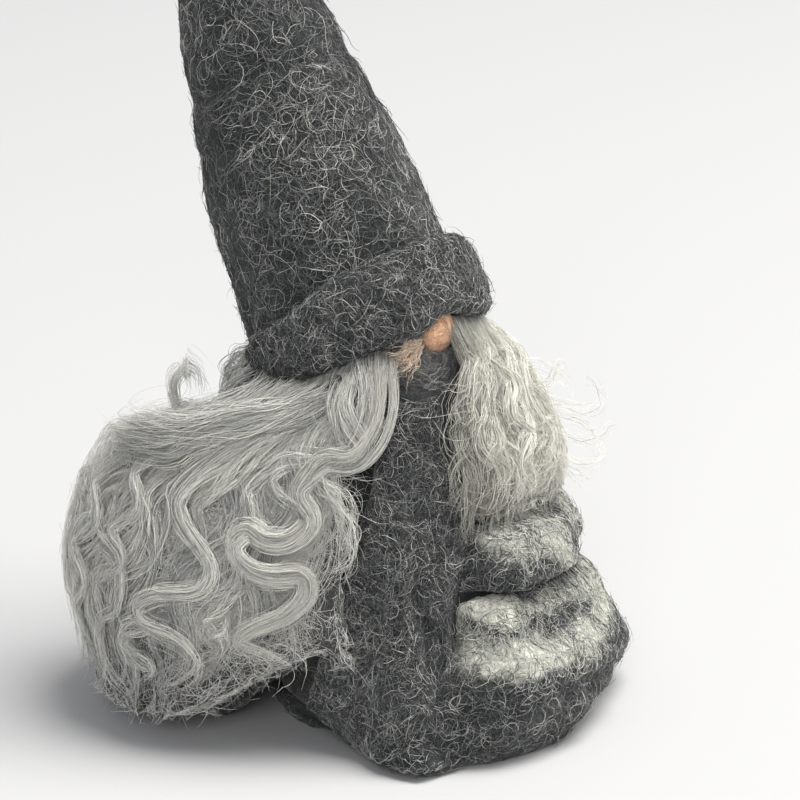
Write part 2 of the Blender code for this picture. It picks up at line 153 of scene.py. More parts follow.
class Drape:
    """Inner and outer radius of CAD nodes that hang on the body, by angle and height."""
    STEP = 3.0                      # degrees between two measured angles
    ROWS = 64
    INSET = 0.4 * MM                # first and last row from the nodes' ends
    REACH = 0.2                     # further out than any node

    def __init__(self, *nodes):
        graph = bpy.context.evaluated_depsgraph_get()
        trees = [BVHTree.FromObject(frame["nodes"][name], graph) for name in nodes]
        boxes = [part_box(name) for name in nodes]
        self.low = min(box[0][2] for box in boxes)
        high = max(box[1][2] for box in boxes)
        self.angles = np.arange(-180, 180, self.STEP)
        self.heights = np.linspace(self.low + self.INSET, high - self.INSET, self.ROWS)
        inner = np.full((len(self.angles), self.ROWS), np.nan)
        outer = inner.copy()
        for row, angle in enumerate(self.angles):
            direction = Vector(outward(angle))
            for column, height in enumerate(self.heights):
                axis = Vector(around(angle, height, 0.0))
                for tree in trees:
                    near = tree.ray_cast(axis, direction)[3]
                    far = tree.ray_cast(axis + direction * self.REACH, -direction)[3]
                    if near is not None and far is not None:
                        inner[row, column] = np.nanmin((inner[row, column], near))
                        outer[row, column] = np.nanmax((outer[row, column], self.REACH - far))
        held = ~np.isnan(inner)
        self.top = np.array([self.heights[row].max() if row.any() else np.nan for row in held])
        self.foot = np.array([self.heights[row].min() if row.any() else np.nan for row in held])
        self.inner, self.outer = self.filled(inner), self.filled(outer)
        self.top = self.filled(self.top[:, None])[:, 0]
        self.foot = self.filled(self.foot[:, None])[:, 0]

    @staticmethod
    def filled(grid):
        """Spreads known values into the unknown cells next to them until none is left."""
        grid = grid.copy()
        while np.isnan(grid).any():
            shifted = [np.roll(grid, step, axis=0) for step in (-1, 1)]
            if grid.shape[1] > 1:
                shifted.append(np.hstack((grid[:, 1:], grid[:, -1:])))
                shifted.append(np.hstack((grid[:, :1], grid[:, :-1])))
            stack = np.stack(shifted)
            count = (~np.isnan(stack)).sum(axis=0)
            mean = np.nansum(stack, axis=0) / np.maximum(count, 1)
            hole = np.isnan(grid) & (count > 0)
            grid[hole] = mean[hole]
        return grid

    def between_angles(self, angle):
        """The measured angles on both sides of an angle, and how far it is from the first to the second."""
        place = (np.asarray(angle, float) + 180) % 360 / self.STEP
        first = np.floor(place).astype(int) % len(self.angles)
        return first, (first + 1) % len(self.angles), place - np.floor(place)

    def along_angle(self, values, angle):
        first, second, share = self.between_angles(angle)
        return mix(values[first], values[second], share)

    def sample(self, grid, angle, height):
        first, second, share = self.between_angles(angle)
        span = self.heights[-1] - self.heights[0]
        level = np.clip((height - self.heights[0]) / span, 0, 1) * (self.ROWS - 1)
        lower = np.minimum(level.astype(int), self.ROWS - 2)
        rise = level - lower
        start = mix(grid[first, lower], grid[first, lower + 1], rise)
        end = mix(grid[second, lower], grid[second, lower + 1], rise)
        return mix(start, end, share)

    def point(self, angle, height, depth, lift=0.0):
        """depth 0 is the inner side, 1 the outer; lift is a distance added beyond it."""
        near = self.sample(self.inner, angle, height)
        far = self.sample(self.outer, angle, height)
        return around(angle, height, mix(near, far, depth) + lift)


# --- Meshes ----------------------------------------------------------------------------------------

def link(piece):
    bpy.context.scene.collection.objects.link(piece)
    return piece


def strand_mesh(name, paths, radii, tints, material):
    """Closed, tapered, three-sided tubes: paths (n, k, 3), radii (n, k), tints (n, k) from 0 to 1."""
    count, rings, _ = paths.shape
    tangent = unit(np.gradient(paths, axis=1))
    least = np.eye(3)[np.argmin(np.abs(tangent[:, 0]), axis=1)]
    side = np.empty_like(paths)
    side[:, 0] = unit(least - tangent[:, 0] * (least * tangent[:, 0]).sum(axis=1, keepdims=True))
    for ring in range(1, rings):
        carried = side[:, ring - 1]
        here = tangent[:, ring]
        side[:, ring] = unit(carried - here * (carried * here).sum(axis=1, keepdims=True))
    across = np.cross(tangent, side)
    turn = np.array((0, 2, 4)) * math.pi / 3
    spokes = (np.cos(turn)[:, None] * side[:, :, None, :] + np.sin(turn)[:, None] * across[:, :, None, :])
    verts = paths[:, :, None, :] + radii[:, :, None, None] * spokes
    index = np.arange(count * rings * 3).reshape(count, rings, 3)
    ahead = np.roll(index, -1, axis=2)
    quads = np.stack((index[:, :-1], ahead[:, :-1], ahead[:, 1:], index[:, 1:]), axis=-1).reshape(-1, 4)
    caps = np.concatenate((index[:, 0, ::-1], index[:, -1]))
    mesh = bpy.data.meshes.new(name)
    mesh.vertices.add(verts.size // 3)
    mesh.vertices.foreach_set("co", verts.astype(np.float32).ravel())
    loops = np.concatenate((quads.ravel(), caps.ravel())).astype(np.int32)
    mesh.loops.add(len(loops))
    mesh.loops.foreach_set("vertex_index", loops)
    mesh.polygons.add(len(quads) + len(caps))
    starts = np.concatenate((np.arange(len(quads)) * 4, len(quads) * 4 + np.arange(len(caps)) * 3))
    mesh.polygons.foreach_set("loop_start", starts.astype(np.int32))
    mesh.polygons.foreach_set("use_smooth", np.ones(len(quads) + len(caps), bool))
    tint = np.clip(tints, 0.01, 0.99)[:, :, None] + np.array((-0.003, 0, 0.003))
    along = np.broadcast_to(np.linspace(0.01, 0.99, rings)[None, :, None], (count, rings, 3))
    place = np.stack((tint, along), axis=-1).reshape(-1, 2)
    layer = mesh.uv_layers.new(name=UV_MAP)
    layer.data.foreach_set("uv", place[loops].astype(np.float32).ravel())
    mesh.update(calc_edges=True)
    mesh.materials.append(material)
    return link(bpy.data.objects.new(name, mesh))


def strand_pieces(name, paths, radii, tints, material, place):
    """Strands as one or more pieces, none too heavy; place(piece) says what each rides on."""
    radii = np.broadcast_to(radii, paths.shape[:2])
    tints = np.broadcast_to(tints, paths.shape[:2])
    per_strand = 6 * (paths.shape[1] - 1) + 2
    groups = max(1, math.ceil(len(paths) * per_strand / MAX_TRIANGLES))
    for number, picked in enumerate(np.array_split(np.arange(len(paths)), groups), 1):
        piece = strand_mesh(f"{name}_{number}", paths[picked], radii[picked], tints[picked], material)
        place(piece)


def riding(body):
    """A placer that lets a piece ride on a body."""
    def place(piece):
        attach(piece, body)
    return place


def vertex_array(mesh):
    flat = np.empty(len(mesh.vertices) * 3, np.float32)
    mesh.vertices.foreach_get("co", flat)
    return flat.reshape(-1, 3).astype(float)


def normal_array(mesh):
    flat = np.empty(len(mesh.vertices) * 3, np.float32)
    mesh.vertex_normals.foreach_get("vector", flat)
    return flat.reshape(-1, 3).astype(float)


def set_vertices(mesh, points):
    mesh.vertices.foreach_set("co", points.astype(np.float32).ravel())
    mesh.update()


def apply_modifiers(piece):
    graph = bpy.context.evaluated_depsgraph_get()
    mesh = bpy.data.meshes.new_from_object(piece.evaluated_get(graph))
    piece.modifiers.clear()
    piece.data = mesh


def solid_copy(name, *nodes):
    """The CAD nodes' solids as one new object."""
    bm = bmesh.new()
    for node in nodes:
        bm.from_mesh(frame["nodes"][node].data)
    bmesh.ops.remove_doubles(bm, verts=bm.verts, dist=0.00001)
    mesh = bpy.data.meshes.new(name)
    bm.to_mesh(mesh)
    bm.free()
    return link(bpy.data.objects.new(name, mesh))


def remeshed(piece, voxel, rounds):
    remesh = piece.modifiers.new("Remesh", "REMESH")
    remesh.mode = "VOXEL"
    remesh.voxel_size = voxel
    remesh.use_smooth_shade = True
    if rounds:
        soften = piece.modifiers.new("Soften", "SMOOTH")
        soften.iterations = rounds
        soften.factor = 0.5
    apply_modifiers(piece)


def felted(piece, seed, lump, size, shrink=0.0):
    """Sculpts a felt skin: broad lumps, smaller dents and the roughness of matted wool."""
    points = vertex_array(piece.data)
    normals = normal_array(piece.data)
    push = lump * noise(points, size, seed) + 0.45 * lump * noise(points, size * 0.4, seed + 1)
    push += 0.22 * MM * noise(points, 2.6 * MM, seed + 2) + 0.10 * MM * noise(points, 1.1 * MM, seed + 3)
    set_vertices(piece.data, points + normals * (push - shrink)[:, None])
    piece.data.shade_smooth()


# --- Materials -------------------------------------------------------------------------------------

def material_with(name, roughness, sheen=0.0, specular=0.3):
    material = bpy.data.materials.new(name)
    material.use_nodes = True
    shader = material.node_tree.nodes["Principled BSDF"]
    shader.inputs["Roughness"].default_value = roughness
    shader.inputs["Specular IOR Level"].default_value = specular
    shader.inputs["Sheen Weight"].default_value = sheen
    shader.inputs["Sheen Roughness"].default_value = 0.5
    return material, material.node_tree, shader


def ramp_node(tree, stops):
    ramp = tree.nodes.new("ShaderNodeValToRGB")
    elements = ramp.color_ramp.elements
    while len(elements) < len(stops):
        elements.new(0.5)
    for element, (place, colour) in zip(elements, stops):
        element.position = place
        element.color = (*colour, 1)
    return ramp


def mid_colour(start, end, share):
    return tuple(mix(a, b, share) for a, b in zip(start, end))


def mix_node(tree, blend, amount=None):
    node = tree.nodes.new("ShaderNodeMix")
    node.data_type = "RGBA"
    node.blend_type = blend
    if amount is not None:
        node.inputs["Factor"].default_value = amount
    return node


def noise_node(tree, scale, detail, source):
    node = tree.nodes.new("ShaderNodeTexNoise")
    node.inputs["Scale"].default_value = scale
    node.inputs["Detail"].default_value = detail
    tree.links.new(source, node.inputs["Vector"])
    return node


def strand_material(name, stops, roughness, sheen, specular, root_shade=0.55):
    """Wool strands: the tint picks a colour, roots are darkened as painted shade and the colour drifts along
    the strand.
    """
    material, tree, shader = material_with(name, roughness, sheen, specular)
    uv = tree.nodes.new("ShaderNodeUVMap")
    uv.uv_map = UV_MAP
    split = tree.nodes.new("ShaderNodeSeparateXYZ")
    tree.links.new(uv.outputs["UV"], split.inputs["Vector"])
    colour = ramp_node(tree, stops)
    tree.links.new(split.outputs["X"], colour.inputs["Fac"])
    drift = noise_node(tree, 9, 2, uv.outputs["UV"])
    drift_shade = ramp_node(tree, [(0.38, (0.62, 0.62, 0.62)), (0.60, (1.0, 1.0, 1.0))])
    tree.links.new(drift.outputs["Fac"], drift_shade.inputs["Fac"])
    # Painted shade: root_shade darkens the first quarter of each strand, from its root.
    root = ramp_node(tree, [(0.0, (root_shade,) * 3), (0.25, (1, 1, 1))])
    tree.links.new(split.outputs["Y"], root.inputs["Fac"])
    first = mix_node(tree, "MULTIPLY", 1.0)
    tree.links.new(colour.outputs["Color"], first.inputs["A"])
    tree.links.new(drift_shade.outputs["Color"], first.inputs["B"])
    second = mix_node(tree, "MULTIPLY", 1.0)
    tree.links.new(first.outputs["Result"], second.inputs["A"])
    tree.links.new(root.outputs["Color"], second.inputs["B"])
    tree.links.new(second.outputs["Result"], shader.inputs["Base Color"])
    return material


def felt_material(name, dark, light, patch=None, raised=True):
    """Matted wool: dark ground with fine crossing fibres, lighter clouds and, on some pieces, pale spots."""
    material, tree, shader = material_with(name, 0.95, sheen=0.25, specular=0.15)
    place = tree.nodes.new("ShaderNodeTexCoord").outputs["Object"]
    fibres = None
    directions = (((1, 0.16, 1), 0.4), ((0.16, 1, 1), 1.1), ((1, 1, 0.16), 0.2))
    for number, (stretch, turn) in enumerate(directions):
        mapping = tree.nodes.new("ShaderNodeMapping")
        mapping.inputs["Scale"].default_value = stretch
        mapping.inputs["Rotation"].default_value = (turn, 0.5 * number, turn * 0.5)
        tree.links.new(place, mapping.inputs["Vector"])
        streak = noise_node(tree, 2600, 3, mapping.outputs["Vector"])
        streak.inputs["Distortion"].default_value = 1.2
        if fibres is None:
            fibres = streak.outputs["Fac"]
        else:
            highest = tree.nodes.new("ShaderNodeMath")
            highest.operation = "MAXIMUM"
            tree.links.new(fibres, highest.inputs[0])
            tree.links.new(streak.outputs["Fac"], highest.inputs[1])
            fibres = highest.outputs[0]
    tone = ramp_node(tree, [(0.5, dark), (0.62, mid_colour(dark, light, 0.35)), (0.76, light)])
    tree.links.new(fibres, tone.inputs["Fac"])
    clouds = noise_node(tree, 90, 3, place)
    cloud_shade = ramp_node(tree, [(0.35, (0.72, 0.72, 0.72)), (0.65, (1.25, 1.25, 1.22))])
    tree.links.new(clouds.outputs["Fac"], cloud_shade.inputs["Fac"])
    shaded = mix_node(tree, "MULTIPLY", 1.0)
    tree.links.new(tone.outputs["Color"], shaded.inputs["A"])
    tree.links.new(cloud_shade.outputs["Color"], shaded.inputs["B"])
    colour = shaded.outputs["Result"]
    if patch:
        attribute = tree.nodes.new("ShaderNodeAttribute")
        attribute.attribute_name = "pale"
        pale = mix_node(tree, "MIX")
        tree.links.new(attribute.outputs["Fac"], pale.inputs["Factor"])
        tree.links.new(colour, pale.inputs["A"])
        wool = ramp_node(tree, [(0.45, mid_colour(dark, patch, 0.45)), (0.6, patch)])
        tree.links.new(fibres, wool.inputs["Fac"])
        tree.links.new(wool.outputs["Color"], pale.inputs["B"])
        colour = pale.outputs["Result"]
    tree.links.new(colour, shader.inputs["Base Color"])
    if raised:
        bump = tree.nodes.new("ShaderNodeBump")
        bump.inputs["Strength"].default_value = 0.8
        bump.inputs["Distance"].default_value = 0.3 * MM
        tree.links.new(fibres, bump.inputs["Height"])
        tree.links.new(bump.outputs["Normal"], shader.inputs["Normal"])
    return material


def stone_material():
    """Smooth beach stone: grey and speckled."""
    material, tree, shader = material_with("beach_stone", 0.55, specular=0.5)
    place = tree.nodes.new("ShaderNodeTexCoord").outputs["Object"]
    speckle = noise_node(tree, 900, 4, place)
    colour = ramp_node(tree, [(0.35, (0.10, 0.10, 0.10)), (0.55, (0.24, 0.235, 0.225)),
                              (0.7, (0.42, 0.41, 0.39))])
    tree.links.new(speckle.outputs["Fac"], colour.inputs["Fac"])
    tree.links.new(colour.outputs["Color"], shader.inputs["Base Color"])
    return material


CHARCOAL = (0.013, 0.014, 0.0155)
CHARCOAL_LIGHT = (0.08, 0.084, 0.084)
CREAM = (0.72, 0.72, 0.61)

felt_charcoal = felt_material("felt_charcoal", CHARCOAL, CHARCOAL_LIGHT)
felt_blotched = felt_material("felt_blotched", CHARCOAL, CHARCOAL_LIGHT, patch=CREAM)
# Near-black wool: painted shade in the gaps between the right fleece's locks and inside the robe's lifted
# hem.
felt_painted_shade = felt_material("painted_shade_wool", (0.030, 0.030, 0.029), (0.17, 0.17, 0.16),
                                 raised=False)
felt_beige_base = felt_material("beige_underlayer", (0.07, 0.067, 0.057), (0.30, 0.29, 0.25), raised=False)
felt_natural = felt_material("natural_stuffing", (0.42, 0.38, 0.30), (0.70, 0.66, 0.56), raised=False)

fibre_grey = strand_material(
    "felt_fibres", [(0.0, (0.010, 0.011, 0.012)), (0.4, (0.038, 0.040, 0.041)), (0.68, (0.17, 0.175, 0.17)),
                    (0.86, (0.46, 0.47, 0.45)), (1.0, (0.80, 0.79, 0.69))], 0.75, 0.2, 0.25, root_shade=0.7)
silver = strand_material(
    "silver_strands", [(0.0, (0.06, 0.06, 0.057)), (0.3, (0.38, 0.38, 0.365)), (0.6, (0.84, 0.835, 0.775)),
                       (0.85, (0.99, 0.98, 0.90)), (1.0, (1.0, 0.96, 0.82))],
    0.32, 0.35, 0.8, root_shade=0.75)
beige = strand_material(
    "beige_strands", [(0.0, (0.12, 0.115, 0.09)), (0.3, (0.52, 0.51, 0.43)), (0.6, (0.90, 0.885, 0.775)),
                      (1.0, (1.0, 0.99, 0.89))], 0.4, 0.3, 0.6, root_shade=0.8)
natural = strand_material(
    "natural_strands", [(0.0, (0.30, 0.27, 0.21)), (0.5, (0.66, 0.62, 0.53)), (1.0, (0.86, 0.83, 0.74))],
    0.7, 0.2, 0.3, root_shade=0.8)
peach = strand_material(
    "peach_strands", [(0.0, (0.22, 0.11, 0.06)), (0.3, (0.62, 0.36, 0.22)), (0.65, (0.86, 0.60, 0.42)),
                      (1.0, (0.92, 0.80, 0.64))], 0.6, 0.3, 0.3, root_shade=0.85)


# --- Felt fibres -----------------------------------------------------------------------------------

def scattered(piece, count, rng, keep=None):
    """Random points on a mesh, with the surface normal at each; keep(points, normals) picks some."""
    mesh = piece.data
    mesh.calc_loop_triangles()
    corners = np.empty(len(mesh.loop_triangles) * 3, np.int32)
    mesh.loop_triangles.foreach_get("vertices", corners)
    triangles = vertex_array(mesh)[corners.reshape(-1, 3)]
    cross = np.cross(triangles[:, 1] - triangles[:, 0], triangles[:, 2] - triangles[:, 0])
    weight = np.linalg.norm(cross, axis=1)
    normals = unit(cross)
    if keep is not None:
        weight = weight * keep(triangles.mean(axis=1), normals)
    picked = rng.choice(len(triangles), count, p=weight / weight.sum())
    a, b = rng.random((2, count, 1))
    flip = a + b > 1
    a, b = np.where(flip, 1 - a, a), np.where(flip, 1 - b, b)
    corner = triangles[picked]
    points = corner[:, 0] + a * (corner[:, 1] - corner[:, 0]) + b * (corner[:, 2] - corner[:, 0])
    return points, normals[picked]


def crawl(piece, points, normals, rng, length, rings, curl, comb=None, comb_strength=0.0):
    """Fibres that wander over a mesh: paths and normals (n, rings, 3). comb is a preferred direction."""
    tree = BVHTree.FromObject(piece, bpy.context.evaluated_depsgraph_get())
    count = len(points)
    heading = unit(np.cross(normals, rng.normal(size=(count, 3))))
    if comb is not None:
        flat = unit(comb - normals * (normals @ comb)[:, None])
        flat *= rng.choice((-1, 1), count)[:, None]
        heading = unit(mix(heading, flat, comb_strength))
    step = (length / (rings - 1))[:, None]
    turn = rng.normal(size=count) * curl
    paths = np.empty((count, rings, 3))
    ups = np.empty_like(paths)
    here, up = points.copy(), normals.copy()
    for ring in range(rings):
        paths[:, ring], ups[:, ring] = here, up
        ahead = here + heading * step
        for number in range(count):
            found = tree.find_nearest(ahead[number])
            here[number] = found[0]
            up[number] = found[1]
        turn = 0.75 * turn + 0.66 * curl * rng.normal(size=count)
        heading = unit(heading - up * (heading * up).sum(axis=1, keepdims=True))
        sideways = np.cross(up, heading)
        heading = unit(heading * np.cos(turn)[:, None] + sideways * np.sin(turn)[:, None])
    return paths, ups


def arched(rings, rng, count, lift, free):
    """Height of each fibre over the felt along its length; a share of them ends free in the air."""
    t = np.linspace(0, 1, rings)
    height = np.sin(math.pi * t) * (0.35 + 0.65 * rng.random((count, 1)))
    height = height + 0.25 * np.sin(t * 9 + 6 * rng.random((count, 1)))
    loose = rng.random((count, 1)) < free
    return lift * np.where(loose, 2.6 * t ** 1.4 * (0.5 + rng.random((count, 1))), height) - 0.05 * MM


def taper(rings, count, rng, thick, thin=0.35):
    """Radii of strands that thin out at both ends and differ from each other."""
    t = np.linspace(0, 1, rings)
    shape = thin + (1 - thin) * np.clip(np.minimum(t * 6, (1 - t) * 4), 0, 1)
    return thick * (0.65 + 0.5 * rng.random((count, 1))) * shape


def felt_fibres(name, piece, count, place, seed, keep=None, tint=None, material=fibre_grey, comb=None,
                comb_strength=0.0, length=(6 * MM, 15 * MM), lift=0.5 * MM, curl=0.52, thick=0.092 * MM,
                rings=8, free=0.10):
    """Fibres that cross over a felt piece; tint(points, shade, rng) colours them."""
    rng = np.random.default_rng(seed)
    count = int(count * FULLNESS)
    points, normals = scattered(piece, count, rng, keep)
    lengths = rng.uniform(*length, count)
    paths, ups = crawl(piece, points, normals, rng, lengths, rings, curl, comb, comb_strength)
    paths += ups * arched(rings, rng, count, lift, free)[:, :, None]
    shade = np.clip(rng.beta(1.5, 1.5, count), 0, 0.92)
    if tint is not None:
        shade = tint(points, shade, rng)
    strand_pieces(name, paths, taper(rings, count, rng, thick), shade[:, None], material, place)


# --- Hat -------------------------------------------------------------------------------------------

LEFT = np.array((1.0, 0, 0))
HAT_WALL = 4 * MM
HAT_HOLLOW = 0.72                   # share of the cone's length that is hollow
HAT_TIP_TAPER = 2.3                 # higher keeps the tip full for longer
HAT_TIP_BOW = 0.075                 # of the tip's length


def hat_space(points):
    """Distance along the hat's axis from the brim, and distance from that axis."""
    along = (points - BRIM) @ HAT_AXIS
    return along, np.linalg.norm(points - BRIM - along[:, None] * HAT_AXIS, axis=1)


def outer_hat_profile():
    """Radius of the hat's felt by distance along its axis, measured on the CAD cone."""
    points = vertex_array(frame["nodes"]["hat_cone"].data)
    along, radius = hat_space(points)
    rows = np.unique(np.round(along, 4))
    widest = [radius[np.abs(along - row) < 0.3 * MM].max() for row in rows]
    return rows, np.maximum.accumulate(np.array(widest)[::-1])[::-1]


def hat_skin():
    """One felt skin from under the brim to the tip, hollow up to the bend, closed over a tapered end."""
    rows, widest = outer_hat_profile()
    tip_points = vertex_array(frame["nodes"]["hat_tip"].data)
    end = tip_points[np.argmax((tip_points - BEND) @ unit(np.array((0, 0.7, 0.7))))]
    bend_along = (BEND - BRIM) @ HAT_AXIS
    start = rows.min()
    spine = [BRIM + HAT_AXIS * along for along in np.linspace(start, bend_along, 5)]
    bow = HAT_TIP_BOW * np.linalg.norm(end - BEND) * unit(np.cross(LEFT, end - BEND))
    middle = mix(BEND, end, 0.5) + bow
    spine = curve_through(spine + [middle, end], 90)
    travelled = np.concatenate(((0,), np.cumsum(np.linalg.norm(np.diff(spine, axis=0), axis=1))))
    straight = bend_along - start
    share = travelled / travelled[-1]
    bend_share = straight / travelled[-1]
    bend_radius = np.interp(bend_along, rows, widest)
    cone = np.interp(travelled + start, rows, widest)
    narrowing = (1 - share ** HAT_TIP_TAPER) / (1 - bend_share ** HAT_TIP_TAPER)
    radius = np.where(share > bend_share, bend_radius * narrowing, cone)
    columns = 96
    turn = np.linspace(0, TURN, columns, endpoint=False)
    mesh = bmesh.new()
    loops = []

    def add_loop(centre, direction, width):
        up = np.cross(unit(direction), LEFT)
        spokes = [math.cos(a) * LEFT + math.sin(a) * up for a in turn]
        loops.append([mesh.verts.new(centre + width * spoke) for spoke in spokes])

    hollow = np.linspace(straight * HAT_HOLLOW, 0, 14)
    for travelled_here in hollow:
        centre = BRIM + HAT_AXIS * (start + travelled_here)
        add_loop(centre, HAT_AXIS, np.interp(travelled_here + start, rows, widest) - HAT_WALL)
    tangents = np.gradient(spine, axis=0)
    for centre, direction, width in zip(spine[:-1], tangents[:-1], radius[:-1]):
        add_loop(centre, direction, width)
    for below, above_loop in zip(loops, loops[1:]):
        for column in range(columns):
            following = (column + 1) % columns
            mesh.faces.new((below[column], below[following], above_loop[following], above_loop[column]))
    ceiling = mesh.verts.new(BRIM + HAT_AXIS * (start + hollow[0]))
    peak = mesh.verts.new(spine[-1])
    for column in range(columns):
        following = (column + 1) % columns
        mesh.faces.new((ceiling, loops[0][following], loops[0][column]))
        mesh.faces.new((peak, loops[-1][column], loops[-1][following]))
    bmesh.ops.recalc_face_normals(mesh, faces=mesh.faces)
    data = bpy.data.meshes.new("hat_felt")
    mesh.to_mesh(data)
    mesh.free()
    hat = link(bpy.data.objects.new("hat_felt", data))
    felted(hat, 11, 0.8 * MM, 17 * MM, shrink=0.5 * MM)
    data.materials.append(felt_charcoal)
    return hat


def blend_hat(piece):
    """Bakes a hat piece's placement into its mesh."""
    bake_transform(piece)


def lifted_over_nose(brim):
    """The brim's lip rises a little where the nose pushes it up."""
    points = vertex_array(brim.data)
    along, _ = hat_space(points)
    angle, _ = polar(points)
    share = smooth(23, 3, np.abs(angle + 2)) * smooth(14 * MM, 1 * MM, along)
    set_vertices(brim.data, points + HAT_AXIS * (3.9 * MM * share)[:, None])


def hat():
    skin = hat_skin()
    brim = solid_copy("hat_brim_felt", "hat_brim")
    remeshed(brim, 1.3 * MM, 3)
    lifted_over_nose(brim)
    felted(brim, 21, 1.1 * MM, 13 * MM, shrink=-0.1 * MM)
    brim.data.materials.append(felt_charcoal)

    def facing_out(points, normals):
        along, _ = hat_space(points)
        axis_side = unit(points - BRIM - along[:, None] * HAT_AXIS)
        return (axis_side * normals).sum(axis=1)

    def outside(points, normals):
        past_bend = hat_space(points)[0] > 90 * MM
        return (facing_out(points, normals) > -0.2) | past_bend

    def brim_outside(points, normals):
        return (facing_out(points, normals) > -0.4) * 1.0

    def clouded(points, shade, rng):
        broad = 0.2 * noise(points, 11 * MM, 111)
        return np.clip(shade + broad + 0.12 * noise(points, 4 * MM, 112), 0, 0.95)

    felt_fibres("hat_fibres", skin, 13800, blend_hat, 101, keep=outside, tint=clouded)
    felt_fibres("hat_long_fibres", skin, 700, blend_hat, 102, keep=outside, length=(16 * MM, 30 * MM),
                rings=12, lift=0.8 * MM, curl=0.4, thick=0.09 * MM)
    felt_fibres("brim_fibres", brim, 6900, riding("hat"), 103, keep=brim_outside,
                comb=np.array((1.0, -0.3, 0.1)), comb_strength=0.45, lift=0.7 * MM)
    blend_hat(skin)
    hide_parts("hat_cone", "hat_tip")
    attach(brim, "hat")
    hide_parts("hat_brim")


# --- Robe ------------------------------------------------------------------------------------------

# Spots are (angle, height in mm, half width in degrees, half height in mm, amount or mm pulled out).
UPPER_PALE_SPOTS = ((-3, 57, 10, 5.5, 0.6), (16, 54, 12, 8.5, 0.85), (44, 53, 18, 7, 0.7),
                    (82, 52, 24, 7, 0.65), (104, 48, 12, 5, 0.5))
LOWER_PALE_SPOTS = ((-17, 41, 11, 3.5, 0.95), (12, 38, 26, 3.0, 0.55), (36, 36, 16, 4, 0.7),
                    (-31, 34, 9, 5, 0.7), (-20, 30, 14, 4.5, 0.95), (-3, 28, 18, 4.5, 1.0),
                    (18, 26, 16, 5, 0.95), (34, 29, 12, 8, 1.0), (58, 28, 14, 6, 0.9), (88, 28, 22, 7, 0.85),
                    (114, 24, 14, 6, 0.6))
PANEL_BULGE = 10                    # degrees
HEM_OVERLAP = 13                    # degrees
PANEL_DENTS = ((-39, 43, 4, 9, -2.2), (-37, 31, 4.5, 10, -3.2), (-35, 17, 5, 9, -2.6),
               (-58, 30, 9, 30, -1.2), (-48, 58, 8, 22, 1.0), (-66, 20, 8, 16, 1.2),
               (-47, 16, 6, 14, 1.0), (-38, 3, 16, 13, -4.5))
UPPER_FOLD_DENTS = ((5, 57, 5, 9, -1.6), (15, 54, 9, 9, 1.4), (-16, 50, 10, 12, -1.6),
                    (34, 46, 10, 10, -1.6), (58, 52, 14, 9, 1.2))
LOWER_FOLD_DENTS = ((4, 33, 18, 4.5, -3.2), (34, 29, 12, 4, -1.6), (-14, 40, 12, 4, 1.0),
                    (-10, 26, 18, 5, 1.0), (22, 22, 16, 6, 1.6), (2, 15, 26, 4, -1.4), (60, 30, 10, 10, -2.0))


def polar(points):
    """Angle and height of points, the other way round from around()."""
    rel_y = points[..., 1] - LEAN * points[..., 2]
    return np.degrees(np.arctan2(points[..., 0], -rel_y)), points[..., 2]


def spot_share(points, spot, ragged=0.0):
    """1 at the middle of a spot, falling to 0 at its edge."""
    angle, height = polar(points)
    away = ((angle - spot[0]) / spot[2]) ** 2 + ((height / MM - spot[1]) / spot[3]) ** 2
    return smooth(1.3, 0.35, away + ragged)


def pale_share(points, spots):
    """How much pale wool is worked into the felt at each point of a fold."""
    ragged = 0.75 * noise(points, 8 * MM, 71) + 0.45 * noise(points, 3 * MM, 72)
    total = np.zeros(len(points))
    for spot in spots:
        total = np.maximum(total, spot[4] * spot_share(points, spot, ragged))
    angle, height = polar(points)
    return total * smooth(-3, 9, angle - panel_edge(height) + 6 * ragged)


def mark_pale(piece, spots):
    layer = piece.data.attributes.new("pale", "FLOAT", "POINT")
    layer.data.foreach_set("value", pale_share(vertex_array(piece.data), spots).astype(np.float32))


def pushed(piece, spots):
    """Pushes dents into a felt piece and pulls ridges out of it."""
    points = vertex_array(piece.data)
    angle, _ = polar(points)
    facing = np.clip((outward(angle) * normal_array(piece.data)).sum(axis=1), 0, 1)
    for spot in spots:
        points += outward(angle) * (spot[4] * MM * spot_share(points, spot) * facing)[:, None]
    set_vertices(piece.data, points)


def feathered(piece, edge, span, depth, depth_at_hem):
    """Thins a felt piece towards one upright edge, so that it melts into its neighbour."""
    points = vertex_array(piece.data)
    angle, height = polar(points)
    radius = np.hypot(points[:, 0], points[:, 1] - LEAN * height)
    closeness = smooth(span, 0, np.abs(angle - edge(height)))
    thinned = mix(depth_at_hem, depth, smooth(12 * MM, 32 * MM, height)) * closeness
    set_vertices(piece.data, around(angle, height, np.maximum(radius - thinned, radius.min())))


def panel_edge(height):
    """Angle of the front panel's edge on the gnome's left."""
    low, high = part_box("robe_front_panel")
    share = (height - low[2]) / (high[2] - low[2])
    return mix(-38, -14, share)


def robe_piece(name, node, material, voxel=1.4 * MM):
    piece = solid_copy(name, node)
    remeshed(piece, voxel, 3)
    piece.data.materials.append(material)
    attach(piece, "figure")
    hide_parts(node)
    return piece


def seen_outside(points, normals):
    """Robe fibres grow on the outside, round the hem and a little way up inside it."""
    angle, _ = polar(points)
    facing = (outward(angle) * normals).sum(axis=1)
    return np.where(facing > -0.3, 1.0, 0.12)


def drawn_to(piece, start, end, flare=0.0):
    """Draws the side of a fold beyond one height up or down, until its edge is at another."""
    points = vertex_array(piece.data)
    height = points[:, 2]
    edge = height.min() if np.mean(end) < start else height.max()
    share = np.clip((height - start) / (edge - start), 0, 1)
    points[:, 2] += (end - edge) * share ** 1.5
    angle, _ = polar(points)
    points += outward(angle) * (flare * share)[:, None]
    set_vertices(piece.data, points)


